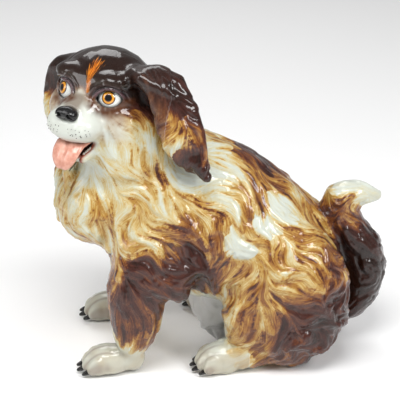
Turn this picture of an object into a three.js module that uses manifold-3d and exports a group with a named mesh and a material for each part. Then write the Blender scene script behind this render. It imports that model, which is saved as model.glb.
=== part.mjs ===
// A seated spaniel figurine in glazed porcelain, with its head turned to its left and its tongue out.
// It is slip-cast in separate moulds and luted together before firing, so each casting is one mesh here.
// Millimetres, +Z up. The dog faces -Y, its left side is +X, and its paws stand on the plane z = 0.
import * as THREE from "three";
import { mergeVertices } from "three/addons/utils/BufferGeometryUtils.js";
import Module from "manifold-3d";

const wasm = await Module();
wasm.setup();

// ---- Driving dimensions ----

const WALL = 6; // thickness of the slip-cast shells
const GAP = 0.3; // clearance left at each luted joint
const VENT_RADIUS = 4; // firing vent through the belly
const VENT_Y = -26;
const NECK_BORE_RADIUS = 14; // opening that joins the hollow of the torso to the hollow of the head
const NECK_BORE_START = [0, -62, 160];
const WRIST_HEIGHT = 26; // where a foreleg ends and its paw begins
const HOCK_DISTANCE = 34; // from a hind paw's toe tips to its joint with the haunch

const HEAD_CENTRE = [2, -75, 193]; // middle of the skull
const HEAD_TURN = 57; // degrees to the dog's left
const HEAD_LIFT = 12; // degrees up
const HEAD_TILT = 4; // degrees, left ear down

const EYE_RADIUS = 9;
const EYE_PLACE = [16, -16.5, 5]; // the left eye's centre, in the head's frame

// Where each side's toe tips stand: outward from the middle, along Y, and degrees that they point outward.
const FEET = [
  { name: "left", side: 1, front: [38, -97, 2], hind: [42, -17, 10] },
  { name: "right", side: -1, front: [43, -97, 2], hind: [62, -19, 20] },
];
const TOE_SPREAD = [-9.6, -3.4, 3.4, 9.6]; // the four toes across a paw
const TOE_SETBACK = [3.5, 0, 0, 3.5]; // how far each toe stands behind the foremost

const COLOURS = {
  cream: "#ddc68a",
  black: "#1d1210",
  brown: "#4a2a20",
  ochre: "#c08c40",
  white: "#e9ece6",
  pink: "#dc9480",
  amber: "#e0981c",
  horn: "#201a1a",
};
const GLAZE_ROUGHNESS = 0.15;

const BLOCK = 600; // edge of a block that cuts away everything on one side of a plane
const X_AXIS = new THREE.Vector3(1, 0, 0);
const Y_AXIS = new THREE.Vector3(0, 1, 0);
const IN_PLACE = new THREE.Matrix4();
const radians = THREE.MathUtils.degToRad;

// ---- Forms: each is a function of `grow`, which thickens it all round for a clearance or a hollow ----

// A round-ended form drawn out along a smooth centreline. Each station is [x, y, z, half-width, half-depth]:
// the half-width lies along `side`, the half-depth across it, and `blunt` squares off the ends.
function limb(stations, { blunt = 2.6, side = X_AXIS, around = 14, along = 10 } = {}) {
  const centre = new THREE.CatmullRomCurve3(stations.map(([x, y, z]) => new THREE.Vector3(x, y, z)));
  const halves = new THREE.CatmullRomCurve3(stations.map(([, , , w, d]) => new THREE.Vector3(w, d, 0)));
  return (grow) => {
    const geometry = new THREE.SphereGeometry(1, around, along);
    const position = geometry.getAttribute("position");
    const p = new THREE.Vector3();
    for (let i = 0; i < position.count; i++) {
      p.fromBufferAttribute(position, i);
      const t = THREE.MathUtils.clamp((1 - p.y) / 2, 0, 1);
      const tangent = centre.getTangent(t);
      const across = side.clone().addScaledVector(tangent, -side.dot(tangent)).normalize();
      const depth = tangent.clone().cross(across);
      const half = halves.getPoint(t);
      const ring = Math.hypot(p.x, p.z) || 1;
      const swell = Math.max(0, 1 - Math.abs(p.y) ** blunt) ** (1 / blunt);
      const at = centre.getPoint(t);
      at.addScaledVector(across, (p.x / ring) * swell * (half.x + grow));
      at.addScaledVector(depth, (p.z / ring) * swell * (half.y + grow));
      at.addScaledVector(tangent, -p.y * grow);
      position.setXYZ(i, at.x, at.y, at.z);
    }
    return geometry;
  };
}

// An ellipsoid with its poles up and down.
function ball([x, y, z], [rx, ry, rz], { around = 12, along = 8 } = {}) {
  return (grow) =>
    new THREE.SphereGeometry(1, around, along)
      .rotateX(Math.PI / 2)
      .scale(rx + grow, ry + grow, rz + grow)
      .translate(x, y, z);
}

// A round bar between two points.
function bar(from, to, radius) {
  const a = new THREE.Vector3(...from);
  const b = new THREE.Vector3(...to);
  const along = b.clone().sub(a);
  const turn = new THREE.Quaternion().setFromUnitVectors(Y_AXIS, along.clone().normalize());
  return (grow) =>
    new THREE.CylinderGeometry(radius + grow, radius + grow, along.length(), 16)
      .applyQuaternion(turn)
      .translate((a.x + b.x) / 2, (a.y + b.y) / 2, (a.z + b.z) / 2);
}

// A block whose near face holds the point `start`, and which runs on from there along `direction`.
function block(start, direction) {
  const middle = new THREE.Vector3(...start).addScaledVector(new THREE.Vector3(...direction), BLOCK / 2);
  return () => new THREE.BoxGeometry(BLOCK, BLOCK, BLOCK).translate(middle.x, middle.y, middle.z);
}

// The same stations on the given side of the dog: they are written for its left, which is side 1.
const onSide = (side, stations) => stations.map(([x, ...rest]) => [side * x, ...rest]);

// ---- Solids ----

function toSolid(geometry) {
  geometry.deleteAttribute("normal");
  geometry.deleteAttribute("uv");
  const merged = mergeVertices(geometry, 1e-3);
  return new wasm.Manifold(
    new wasm.Mesh({
      numProp: 3,
      vertProperties: new Float32Array(merged.getAttribute("position").array),
      triVerts: new Uint32Array(merged.index.array),
    }),
  );
}

// The forms joined into one solid, each grown by `grow` and carried by `matrix`.
function join(forms, grow = 0, matrix = IN_PLACE) {
  const solids = forms.map((form) => toSolid(form(grow).applyMatrix4(matrix)));
  return solids.reduce((all, next) => all.add(next));
}

// A solid less every cutter. A cut can leave a sliver on a neighbour's far side, so the largest body is kept.
function carve(solid, ...cutters) {
  const left = cutters.reduce((whole, cutter) => whole.subtract(cutter), solid);
  return left.decompose().reduce((a, b) => (b.volume() > a.volume() ? b : a));
}

const ground = join([block([0, 0, 0], [0, 0, -1])]);

// ---- The assembly: the dog's own group, and the group of the turned head within it ----

const dog = new THREE.Group();
const head = new THREE.Group();
head.position.set(...HEAD_CENTRE);
head.rotation.set(radians(-HEAD_LIFT), radians(HEAD_TILT), radians(HEAD_TURN), "ZXY");
head.updateMatrix();
const toDog = head.matrix;
const toHead = toDog.clone().invert();
dog.add(head);

function place(group, name, solid, colour) {
  const cut = solid.getMesh();
  const geometry = new THREE.BufferGeometry();
  geometry.setAttribute("position", new THREE.BufferAttribute(new Float32Array(cut.vertProperties), 3));
  geometry.setIndex(new THREE.BufferAttribute(cut.triVerts, 1));
  const finish = { color: COLOURS[colour], roughness: GLAZE_ROUGHNESS, metalness: 0 };
  const mesh = new THREE.Mesh(geometry, new THREE.MeshStandardMaterial(finish));
  mesh.name = name;
  group.add(mesh);
}

// ---- Forms of the head, in its own frame: it faces -Y and its skull's middle is the origin ----

const skull = { centre: [0, 4, 2], radii: [35, 34, 31] };
const muzzle = limb([
  [0, 4, -4, 28, 22],
  [0, -16, -7, 20, 17],
  [0, -32, -12, 14.5, 12],
  [0, -43, -14, 12.5, 9],
], { blunt: 2.8 });
const headForms = [ball(skull.centre, skull.radii, { around: 18, along: 12 }), muzzle];
for (const side of [-1, 1]) {
  const lip = ball([side * 9, -29, -17], [9.5, 14.5, 9.5]);
  const cheek = ball([side * 19, -5, -11], [16, 20, 17]);
  const brow = ball([side * 15, -17, 14], [11.5, 10, 7.5]);
  headForms.push(lip, cheek, brow);
}

const jawForms = [
  limb([
    [0, 0, -30, 16, 9],
    [0, -16, -35, 14, 8],
    [0, -30, -39, 10, 6],
  ]),
];
// The tongue lies along the jaw, then curls down over the lip.
const tongueForms = [
  limb([
    [1, -6, -27, 8, 3],
    [1, -22, -27, 10, 3],
    [1, -34, -30, 10.5, 3],
    [1, -39, -38, 10, 3],
    [1, -40, -47, 7, 3],
  ], { blunt: 3.2 }),
];
const noseForms = [ball([0, -42.5, -8], [8.5, 6, 5.5])];
const eyeForms = (side) => {
  const [x, y, z] = EYE_PLACE;
  return [ball([side * x, y, z], [EYE_RADIUS, EYE_RADIUS, EYE_RADIUS])];
};
const bothEyes = [...eyeForms(-1), ...eyeForms(1)];

// ---- Forms of the body, in the dog's frame ----

const trunk = limb([
  [0, -84, 150, 34, 32],
  [0, -58, 128, 50, 54],
  [0, -10, 104, 52, 57],
  [0, 33, 80, 47, 49],
  [0, 60, 50, 42, 41],
  [0, 72, 18, 34, 26],
], { around: 18, along: 13 });
const neck = limb([
  [0, -40, 112, 36, 34],
  [0, -54, 150, 41, 42],
  [0, -60, 184, 34, 38],
  [0, -62, 206, 22, 24],
]);
const chest = ball([0, -80, 117], [38, 31, 32]);
const throat = ball([0, -70, 144], [33, 27, 26]);
const torsoForms = [trunk, neck, chest, throat];

// The left ear swings out over the shoulder, and the right one hangs straight down.
const EAR_FORMS = {
  left: [
    limb([
      [12, -54, 208, 9, 7],
      [25, -45, 214, 13, 7],
      [35, -35, 210, 14, 6.5],
      [42, -28, 194, 15, 6],
      [46, -24, 180, 15, 6],
      [47, -19, 166, 12, 5.5],
      [46, -10, 152, 7, 4.5],
    ], { side: Y_AXIS }),
  ],
  right: [
    limb([
      [-19, -88, 211, 12, 6],
      [-26, -99, 202, 14, 6],
      [-27, -104, 184, 14, 6],
      [-25, -104, 166, 12, 5.5],
      [-25, -95, 147, 6, 4.5],
    ], { side: Y_AXIS }),
  ],
};

const forelegForms = (side) => [
  limb(onSide(side, [
    [37, -46, 116, 18, 26],
    [40, -50, 86, 17, 22],
    [41, -56, 58, 15, 19],
    [41, -58, 34, 12.5, 15.5],
    [41, -61, 12, 11.5, 13],
  ])),
  ball([side * 40, -32, 74], [14, 17, 16]), // the elbow
];
const haunchForms = (side) => [
  ball([side * 34, 50, 55], [26, 42, 52], { around: 16, along: 10 }), // the thigh
  ball([side * 36, 22, 42], [18, 17, 28]), // the knee
  ball([side * 30, 54, 15], [19, 18, 15]), // the heel
];

// A tuft of belly fur hangs to the ground between the hind legs and props the body.
const tuftForms = [
  limb([
    [0, -6, 60, 20, 22],
    [-1, 0, 40, 17, 20],
    [-3, 8, 20, 15, 19],
    [-4, 11, 4, 12, 15],
  ]),
];

// The tail sweeps back off the rump, rises in a plume, and curls back at its tip.
const tailForms = [
  limb([
    [-1, 74, 20, 15, 12],
    [-3, 95, 27, 18, 13],
    [-5, 108, 47, 18, 15.5],
    [-5, 105, 70, 17, 15.5],
    [-5, 92, 90, 15, 14],
    [-5, 86, 106, 14, 14],
    [-5, 98, 113, 12, 12],
    [-5, 119, 112, 4, 5],
  ], { along: 15 }),
];

// ---- Forms of a paw, in its own frame: the toes point along -Y from y = 0, and the sole is z = 0 ----

const palm = ball([0, 20, 9], [15, 17, 12]);
const toes = TOE_SPREAD.map((x, i) =>
  ball([x, 10 + TOE_SETBACK[i], 8], [5.4, 9.5, 8.2], { around: 10, along: 7 }),
);
const claws = TOE_SPREAD.map((x, i) =>
  limb([
    [x * 1.03, 6 + TOE_SETBACK[i], 6, 1.9, 2.4],
    [x * 1.06, -2.2 + TOE_SETBACK[i], 2.6, 1.2, 1.5],
  ], { around: 6, along: 5 }),
);
const pastern = limb([
  [0, 16, 10, 13, 10],
  [0, 38, 12, 14, 11.5],
  [0, 68, 14, 16, 13],
]);

// Stands a paw's frame in the dog's: `splay` turns the toes outward.
function pawPlace(side, [outward, y, splay]) {
  const turn = new THREE.Matrix4().makeRotationZ(radians(side * splay));
  return new THREE.Matrix4().makeTranslation(side * outward, y, 0).multiply(turn);
}

// ---- The castings, each cut back from the neighbours that it is luted to ----

const torsoGrown = join(torsoForms, GAP);
const headInTorso = join(headForms, GAP, toDog);
const mouthInTorso = join([...jawForms, ...tongueForms], GAP, toDog);
const neckBore = bar(NECK_BORE_START, HEAD_CENTRE, NECK_BORE_RADIUS);
const vent = bar([0, VENT_Y, 20], [0, VENT_Y, 100], VENT_RADIUS);

const torsoHollow = join([trunk, neck], -WALL).subtract(join(headForms, GAP + WALL, toDog));
const torsoCuts = [ground, headInTorso, mouthInTorso, torsoHollow, join([neckBore, vent])];
place(dog, "torso", carve(join(torsoForms), ...torsoCuts), "cream");

const headHollow = join([ball(skull.centre, skull.radii)], -WALL).subtract(join(bothEyes, WALL / 2));
const headSockets = join([...bothEyes, ...noseForms, ...tongueForms], GAP);
const headCuts = [headHollow, join([neckBore], 0, toHead), headSockets];
place(head, "head", carve(join(headForms), ...headCuts), "black");
place(head, "lower_jaw", carve(join(jawForms), join(headForms, GAP), join(tongueForms, GAP)), "white");
place(head, "tongue", join(tongueForms), "pink");
place(head, "nose", join(noseForms), "horn");
place(head, "left_eye", join(eyeForms(1)), "amber");
place(head, "right_eye", join(eyeForms(-1)), "amber");
for (const name of ["left", "right"]) {
  place(dog, name + "_ear", carve(join(EAR_FORMS[name]), headInTorso, torsoGrown), "brown");
}

for (const { name, side, front, hind } of FEET) {
  const leg = join(forelegForms(side));
  const frontPlace = pawPlace(side, front);
  const aboveWrist = join([block([0, 0, WRIST_HEIGHT - GAP], [0, 0, 1])]);
  const belowWrist = join([block([0, 0, WRIST_HEIGHT], [0, 0, -1])]);
  const frontPaw = join([...toes, palm], 0, frontPlace).add(leg);
  place(dog, name + "_foreleg", carve(leg, torsoGrown, belowWrist), "brown");
  place(dog, name + "_front_paw", carve(frontPaw, aboveWrist, ground, join(claws, GAP, frontPlace)), "white");

  const hindPlace = pawPlace(side, hind);
  const behindHock = join([block([0, HOCK_DISTANCE - GAP, 0], [0, 1, 0])], 0, hindPlace);
  const beforeHock = join([block([0, HOCK_DISTANCE, 0], [0, -1, 0])], 0, hindPlace);
  const shank = join([pastern], 0, hindPlace);
  const haunch = join(haunchForms(side)).add(shank.subtract(beforeHock));
  const hindPaw = join([...toes, palm, pastern], 0, hindPlace);
  const hindCuts = [behindHock, join(haunchForms(side), GAP), ground, join(claws, GAP, hindPlace)];
  place(dog, name + "_haunch", carve(haunch, torsoGrown, ground), "ochre");
  place(dog, name + "_hind_paw", carve(hindPaw, ...hindCuts), "white");

  claws.forEach((claw, i) => {
    place(dog, `${name}_front_claw_${i + 1}`, carve(join([claw], 0, frontPlace), ground), "horn");
    place(dog, `${name}_hind_claw_${i + 1}`, carve(join([claw], 0, hindPlace), ground), "horn");
  });
}

const haunchesGrown = join([...haunchForms(-1), ...haunchForms(1)], GAP);
place(dog, "belly_tuft", carve(join(tuftForms), torsoGrown, haunchesGrown, ground), "white");
place(dog, "tail", carve(join(tailForms), torsoGrown, haunchesGrown, ground), "black");

// The origin is under the middle of the whole figurine's box, on the plane that the paws stand on.
const box = new THREE.Box3().setFromObject(dog, true);
const middle = box.getCenter(new THREE.Vector3());
dog.position.set(-middle.x, -middle.y, -box.min.z);

export default dog;
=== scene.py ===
"""A seated spaniel figurine in painted, glazed porcelain, built round its packed castings."""
import itertools
import math
from types import SimpleNamespace

import bpy
import numpy as np
import openvdb as vdb
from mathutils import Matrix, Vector


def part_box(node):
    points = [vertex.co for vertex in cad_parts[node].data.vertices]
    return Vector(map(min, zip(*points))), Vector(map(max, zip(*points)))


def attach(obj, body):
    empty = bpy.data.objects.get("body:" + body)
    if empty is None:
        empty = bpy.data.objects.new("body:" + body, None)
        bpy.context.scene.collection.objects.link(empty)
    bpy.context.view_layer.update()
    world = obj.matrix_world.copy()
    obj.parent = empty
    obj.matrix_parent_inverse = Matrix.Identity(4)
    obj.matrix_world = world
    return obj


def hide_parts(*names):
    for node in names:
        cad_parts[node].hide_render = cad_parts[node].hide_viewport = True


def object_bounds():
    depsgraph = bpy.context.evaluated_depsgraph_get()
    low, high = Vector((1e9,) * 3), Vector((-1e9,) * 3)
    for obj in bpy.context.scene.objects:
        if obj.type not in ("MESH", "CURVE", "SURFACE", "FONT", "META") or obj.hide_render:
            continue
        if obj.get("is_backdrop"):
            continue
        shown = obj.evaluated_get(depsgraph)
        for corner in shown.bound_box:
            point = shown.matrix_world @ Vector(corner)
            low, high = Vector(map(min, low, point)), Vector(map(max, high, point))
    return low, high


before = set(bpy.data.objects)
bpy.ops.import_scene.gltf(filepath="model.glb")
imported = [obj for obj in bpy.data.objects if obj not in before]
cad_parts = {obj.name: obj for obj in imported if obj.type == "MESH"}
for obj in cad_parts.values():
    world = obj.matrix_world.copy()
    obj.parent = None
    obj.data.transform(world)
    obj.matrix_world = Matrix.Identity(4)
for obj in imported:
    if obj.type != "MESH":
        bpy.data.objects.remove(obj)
cad_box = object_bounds()

MM = 0.001
SIDES = {"left": 1.0, "right": -1.0}
rng = np.random.default_rng(11)

# ---------------------------------------------------------------- places, all taken from the frame


def node_box(node):
    """A node's lowest and highest corners in millimetres."""
    low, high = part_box(node)
    return np.array(low) / MM, np.array(high) / MM


def at(node, fractions):
    """A point inside a node's box, given as fractions of its sides."""
    low, high = node_box(node)
    return low + (high - low) * np.array(fractions)


def unit(v):
    v = np.asarray(v, float)
    return v / np.maximum(np.linalg.norm(v, axis=-1, keepdims=True), 1e-9)


class Local:
    """A right-handed frame of its own: its columns point to the dog's left, to the back and up."""

    def __init__(self, origin, left, back, up):
        self.origin = np.asarray(origin, float)
        self.axes = np.stack([unit(left), unit(back), unit(up)], axis=1)

    def out(self, p):
        return self.origin + np.asarray(p, float) @ self.axes.T

    def turn_out(self, v):
        return np.asarray(v, float) @ self.axes.T

    def into(self, p):
        return (np.asarray(p, float) - self.origin) @ self.axes


EYE = np.array((16.0, -16.5, 5.0))  # the left eye's middle in the head's frame, in millimetres
NOSE = np.array((0.0, -42.5, -8.0))  # the nose's middle there


def head_frame():
    """The head's frame, found from the middles of its eyes and nose; its face looks along -Y."""
    left, right, nose = (at(n, (0.5, 0.5, 0.5)) for n in ("left_eye", "right_eye", "nose"))
    between = (left + right) / 2
    side = unit(left - right)
    forward, drop = -(NOSE[1] - EYE[1]), EYE[2] - NOSE[2]
    to_nose = nose - between
    normal = unit(np.cross(side, to_nose))  # square to the plane's two directions
    if normal[2] < 0:
        normal = -normal
    along = unit(to_nose)
    slope = math.atan2(drop, forward)
    face = along * math.cos(slope) + normal * math.sin(slope)
    up = normal * math.cos(slope) - along * math.sin(slope)
    origin = between + EYE[1] * face - EYE[2] * up
    return Local(origin, side, -face, up)


HEAD = head_frame()

# ---------------------------------------------------------------- smooth noise


def hashed(cell, seed):
    """A number from -1 to 1 for each whole-number cell, its bits mixed by large odd factors."""
    mix = cell[..., 0] * 73856093 ^ cell[..., 1] * 19349663 ^ cell[..., 2] * 83492791 ^ seed * 26544357
    mix = (mix & 0xFFFFFFFF) * 2246822519 & 0xFFFFFFFF
    mix = (mix ^ (mix >> 15)) * 3266489917 & 0xFFFFFFFF
    return ((mix ^ (mix >> 13)) & 0xFFFFFF) / float(0x7FFFFF) - 1.0


def noise(points, size, seed):
    """Smooth noise from -1 to 1, with bumps `size` across."""
    q = np.asarray(points, float) / size
    cell = np.floor(q).astype(np.int64)
    f = q - cell
    f = f * f * (3 - 2 * f)
    total = np.zeros(len(q))
    for corner in itertools.product((0, 1), repeat=3):
        weight = np.prod(np.where(np.array(corner) == 1, f, 1 - f), axis=1)
        total += weight * hashed(cell + np.array(corner), seed)
    return total


def smoothstep(low, high, x):
    t = np.clip((x - low) / (high - low), 0, 1)
    return t * t * (3 - 2 * t)


# ---------------------------------------------------------------- a grid of distances to the castings

VOXEL = 0.8  # millimetres
BAND = 9  # half the width of the band that holds true distances, in voxels
PAD = 7.0  # millimetres of air round the castings
FAR = VOXEL * BAND

grid_low = np.floor((np.array(cad_box[0]) / MM - PAD) / VOXEL).astype(int)
grid_size = np.ceil((np.array(cad_box[1]) / MM + PAD) / VOXEL).astype(int) - grid_low + 1


def node_triangles(node):
    """A casting's points in millimetres, and its triangles."""
    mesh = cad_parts[node].data
    mesh.calc_loop_triangles()
    points = np.empty(len(mesh.vertices) * 3, np.float32)
    mesh.vertices.foreach_get("co", points)
    corners = np.empty(len(mesh.loop_triangles) * 3, np.int32)
    mesh.loop_triangles.foreach_get("vertices", corners)
    return points.reshape(-1, 3) / np.float32(MM), corners.reshape(-1, 3).astype(np.uint32)


def block_of(nodes):
    """The part of the grid round some nodes: a slice, the lattice index where it starts, and its size."""
    boxes = np.array([node_box(n) for n in nodes])
    return block_between(boxes[:, 0].min(0), boxes[:, 1].max(0))


def block_between(low, high):
    start = np.maximum(np.floor((low - FAR) / VOXEL).astype(int), grid_low)
    stop = np.minimum(np.ceil((high + FAR) / VOXEL).astype(int) + 1, grid_low + grid_size)
    cut = tuple(slice(a, b) for a, b in zip(start - grid_low, stop - grid_low))
    return cut, start, stop - start


def distances(node, start, size, voxel=VOXEL):
    """The signed distance to a node's surface, negative inside, over a block of the lattice."""
    points, corners = node_triangles(node)
    lattice = vdb.createLinearTransform(voxelSize=voxel)
    grid = vdb.FloatGrid.createLevelSetFromPolygons(
        points, triangles=corners, transform=lattice, halfWidth=float(BAND))
    d = np.empty(tuple(int(n) for n in size), np.float32)
    grid.copyToArray(d, ijk=tuple(int(i) for i in start))
    return d


def fill_hollow(d):
    """Fills what a solid encloses on five sides: all but the one below, where its vent opens."""
    solid = d < 0
    enclosed = np.ones_like(solid)
    for axis, way in ((0, 1), (0, -1), (1, 1), (1, -1), (2, -1)):
        turned = np.flip(solid, axis) if way < 0 else solid
        seen = np.maximum.accumulate(turned, axis=axis)
        enclosed &= np.flip(seen, axis) if way < 0 else seen
    d[enclosed & ~solid] = -FAR
    return d


def blur(a, sigma):
    """A Gaussian blur; sigma is in voxels, and its tails are cut at 2.6 of them."""
    reach = int(math.ceil(2.6 * sigma))
    weights = np.exp(-0.5 * (np.arange(-reach, reach + 1) / sigma) ** 2)
    weights /= weights.sum()
    for axis in range(a.ndim):
        pad = [(0, 0)] * a.ndim
        pad[axis] = (reach, reach)
        padded = np.pad(a, pad, mode="edge")
        total = np.zeros_like(a)
        for i, w in enumerate(weights):
            cut = [slice(None)] * a.ndim
            cut[axis] = slice(i, i + a.shape[axis])
            total += np.float32(w) * padded[tuple(cut)]
        a = total
    return a


def smooth_min(a, b, k):
    """The union of two distance fields with a fillet about k millimetres wide."""
    h = np.clip(0.5 + 0.5 * (b - a) / k, 0, 1)
    return b + (a - b) * h - k * h * (1 - h)


def smooth_max(a, b, k):
    return -smooth_min(-a, -b, k)


def lattice_points(start, size, voxel=VOXEL):
    axes = [(np.arange(n) + i) * voxel for i, n in zip(start, size)]
    return np.stack(np.meshgrid(*axes, indexing="ij"), axis=-1).astype(np.float32)


def ellipsoid(p, centre, radii):
    """A rough signed distance to an ellipsoid."""
    q = (p - np.array(centre, np.float32)) / np.array(radii, np.float32)
    return (np.linalg.norm(q, axis=-1) - 1) * min(radii)


def to_segment(p, a, b):
    """How far points are from the line from a to b, and where along it they are nearest, from 0 to 1."""
    a, b = np.asarray(a, p.dtype), np.asarray(b, p.dtype)
    t = np.clip((p - a) @ (b - a) / ((b - a) @ (b - a)), 0, 1)
    return np.linalg.norm(p - a - t[..., None] * (b - a), axis=-1), t


def capsule(p, a, b, radius):
    """The signed distance to a rod with round ends."""
    return to_segment(p, a, b)[0] - radius


def rope(p, points, radii):
    """The signed distance to a chain of rods whose thickness changes from point to point."""
    d = np.full(p.shape[:-1], FAR, np.float32)
    for (a, b), (r, s) in zip(itertools.pairwise(points), itertools.pairwise(radii)):
        away, t = to_segment(p, a, b)
        d = np.minimum(d, away - (r + (s - r) * t))
    return d


def doubled(a, axis):
    """An array made twice as long along an axis, with means between its values."""
    a = np.moveaxis(a, axis, 0)
    wide = np.empty((2 * len(a), *a.shape[1:]), np.float32)
    wide[::2] = a
    wide[1:-1:2] = (a[:-1] + a[1:]) / 2
    wide[-1] = a[-1]
    return np.moveaxis(wide, 0, axis)


def soften(d, sigma, swell):
    """A wide blur, made on every other voxel to save time; the body also swells a little."""
    soft = blur(d[::2, ::2, ::2], sigma / 2)
    for axis in range(3):
        soft = doubled(soft, axis)
    return soft[:d.shape[0], :d.shape[1], :d.shape[2]] - np.float32(swell)


# ---------------------------------------------------------------- the head's modelling

ALMOND = (8.7, 5.1)  # half the length and height of an eye's opening
SLANT = 0.12  # how far an opening's outer corner is raised, in radians
BALL = 8.7  # an eyeball's radius
# In the head's frame: the eyeballs' middles, the way each opening faces, and the way each pupil looks.
SOCKET = {"left": (15.8, -16.7, 3.4), "right": (-13.0, -18.6, 2.1)}
LOOK = {"left": (0.42, -0.90, 0.06), "right": (-0.27, -0.96, 0.06)}
GAZE = {"left": (0.36, -0.90, 0.16), "right": (-0.46, -0.86, 0.16)}


def eye_frame(side):
    """An eye's own frame inside the head's: it looks along -Y."""
    forward = unit(LOOK[side])
    across = unit(np.cross((0, 0, 1), forward))
    over = np.cross(across, -forward)
    c, s = math.cos(SLANT * SIDES[side]), math.sin(SLANT * SIDES[side])
    return Local(SOCKET[side], across * c + over * s, -forward, over * c - across * s)


def almond(q):
    """The signed distance, seen from in front, to an eye's opening, in the eye's frame."""
    half, rise = ALMOND
    radius = (half ** 2 + rise ** 2) / (2 * rise)
    drop = radius - rise
    upper = np.hypot(q[..., 0], q[..., 2] + drop) - radius
    lower = np.hypot(q[..., 0], q[..., 2] - drop) - radius
    return np.maximum(upper, lower)


def model_head(d, p):
    """Adds lids, brows, lips and a mouth to the head's distances; p is in the head's frame."""
    for side, x in SIDES.items():
        brow = ellipsoid(p, (x * 14, -20, 14), (10.5, 7, 4.6))
        d = smooth_min(d, brow, 5.0)
        q = eye_frame(side).into(p)
        ball = np.linalg.norm(q, axis=-1)
        d = smooth_min(d, (ball - (BALL + 1.0)).astype(np.float32), 2.5)
        upper_lip = ellipsoid(p, (x * 9.5, -29, -17.5), (8.5, 12, 8.5))
        d = smooth_min(d, upper_lip, 4.0)
        edge = almond(q)  # the lid's folds run round the opening at fixed distances from its edge
        lid = (q[..., 1] < 2) & (ball < BALL + 7)
        above = smoothstep(-1.5, 1.5, q[..., 2])
        folds = 0.45 * np.exp(-((edge - 1.5) / 0.9) ** 2) - 0.75 * np.exp(-((edge - 3.1) / 0.55) ** 2)
        folds += 0.5 * np.exp(-((edge - 4.6) / 0.9) ** 2) - 0.45 * np.exp(-((edge - 6.2) / 0.6) ** 2)
        d = d - (lid * above * folds).astype(np.float32)
        socket = np.maximum(edge, q[..., 1] + 1.0)
        d = smooth_max(d, -socket.astype(np.float32), 0.7)
    muzzle = ellipsoid(p, (0, -34.5, -20.5), (11.5, 8.5, 8.0))
    d = smooth_min(d, muzzle, 4.0)
    for x in SIDES.values():
        lower_lip = capsule(p, (x * 14.5, -15, -29), (x * 10.5, -31, -38.5), 2.7)
        d = smooth_min(d, lower_lip, 2.5)
    return smooth_max(d, -mouth_gap(p), 0.8)


def mouth_gap(p):
    """The signed distance to the wedge of air between the jaws, which opens towards the lips."""
    y = p[..., 1]
    wide = np.abs(p[..., 0]) - np.interp(y, (-40, -31, -16, -8), (9.0, 9.6, 12.6, 9.0)).astype(np.float32)
    floor = (-28.0 + 0.60 * (y + 14) - p[..., 2]) * 0.86
    roof = 26.6 + 1.6 * smoothstep(-31, -39, y)
    return np.maximum(np.maximum(wide, floor), np.maximum(p[..., 2] + roof, y + 7))


def claws_of(paw):
    return sorted(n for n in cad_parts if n.startswith(paw.replace("_paw", "_claw_")))


def model_toes(d, p, paw):
    """Draws four knuckled toes out of a paw, each from over its claw back towards the heel."""
    low, high = node_box(paw)
    height = high[2] - low[2]
    heel = at(paw, (0.5, 0.85, 0.0))
    forward = (p[..., 1] - low[1]) / (high[1] - low[1])  # 0 at the tips of the toes, 1 at the heel
    d = d + (1.5 * (1 - smoothstep(0.4, 0.75, forward))).astype(np.float32)  # thinner where the toes go
    instep = capsule(p, at(paw, (0.5, 0.55, 0.38)), at(paw, (0.5, 0.74, 0.38)), 0.35 * height)
    d = smooth_min(d, instep, 3.0)
    for claw in claws_of(paw):
        tip = at(claw, (0.5, 0.95, 0.85))
        run = (heel - tip) * (1, 1, 0)
        knuckle = tip + 0.24 * run
        knuckle[2] = 0.41 * height
        root = tip + 0.60 * run
        root[2] = 0.60 * height
        toe = smooth_min(capsule(p, tip, knuckle, 3.9), capsule(p, knuckle, root, 3.6), 1.0)
        d = smooth_min(d, toe, 1.3)
    return d


def sample(values, points):
    """Trilinear samples of a grid at points in millimetres."""
    q = np.clip(points / VOXEL - grid_low, 0, np.array(values.shape[:3]) - 1.001)
    cell = q.astype(int)
    f = q - cell
    total = 0
    for corner in itertools.product((0, 1), repeat=3):
        i, j, k = (cell + np.array(corner)).T
        weight = np.prod(np.where(np.array(corner) == 1, f, 1 - f), axis=1)
        total = total + weight * values[i, j, k]
    return total


# The left ear's raised fold and pointed tip: places in its box, and the radius there in millimetres.
EAR_FOLD = [((0.30, 0.04, 0.93), 3.2), ((0.57, 0.13, 0.94), 2.8), ((0.67, 0.27, 0.89), 2.6),
            ((0.76, 0.43, 0.84), 2.4), ((0.78, 0.54, 0.80), 2.0)]
EAR_TIP = [((0.90, 0.83, 0.16), 4.6), ((0.92, 0.92, 0.07), 3.8), ((0.93, 0.99, 0.00), 2.4)]
# Where the chest's hanging locks end: places across and up the torso's box, and each one's radius in mm.
CHEST_LOCKS = [(0.36, 0.63, 4.6), (0.52, 0.61, 5.0), (0.67, 0.63, 4.6), (0.28, 0.51, 5.4), (0.42, 0.48, 5.8),
               (0.57, 0.48, 6.0), (0.72, 0.50, 5.6), (0.34, 0.36, 5.2), (0.49, 0.33, 5.4), (0.65, 0.36, 5.2),
               (0.79, 0.41, 4.8), (0.21, 0.41, 4.8)]


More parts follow.
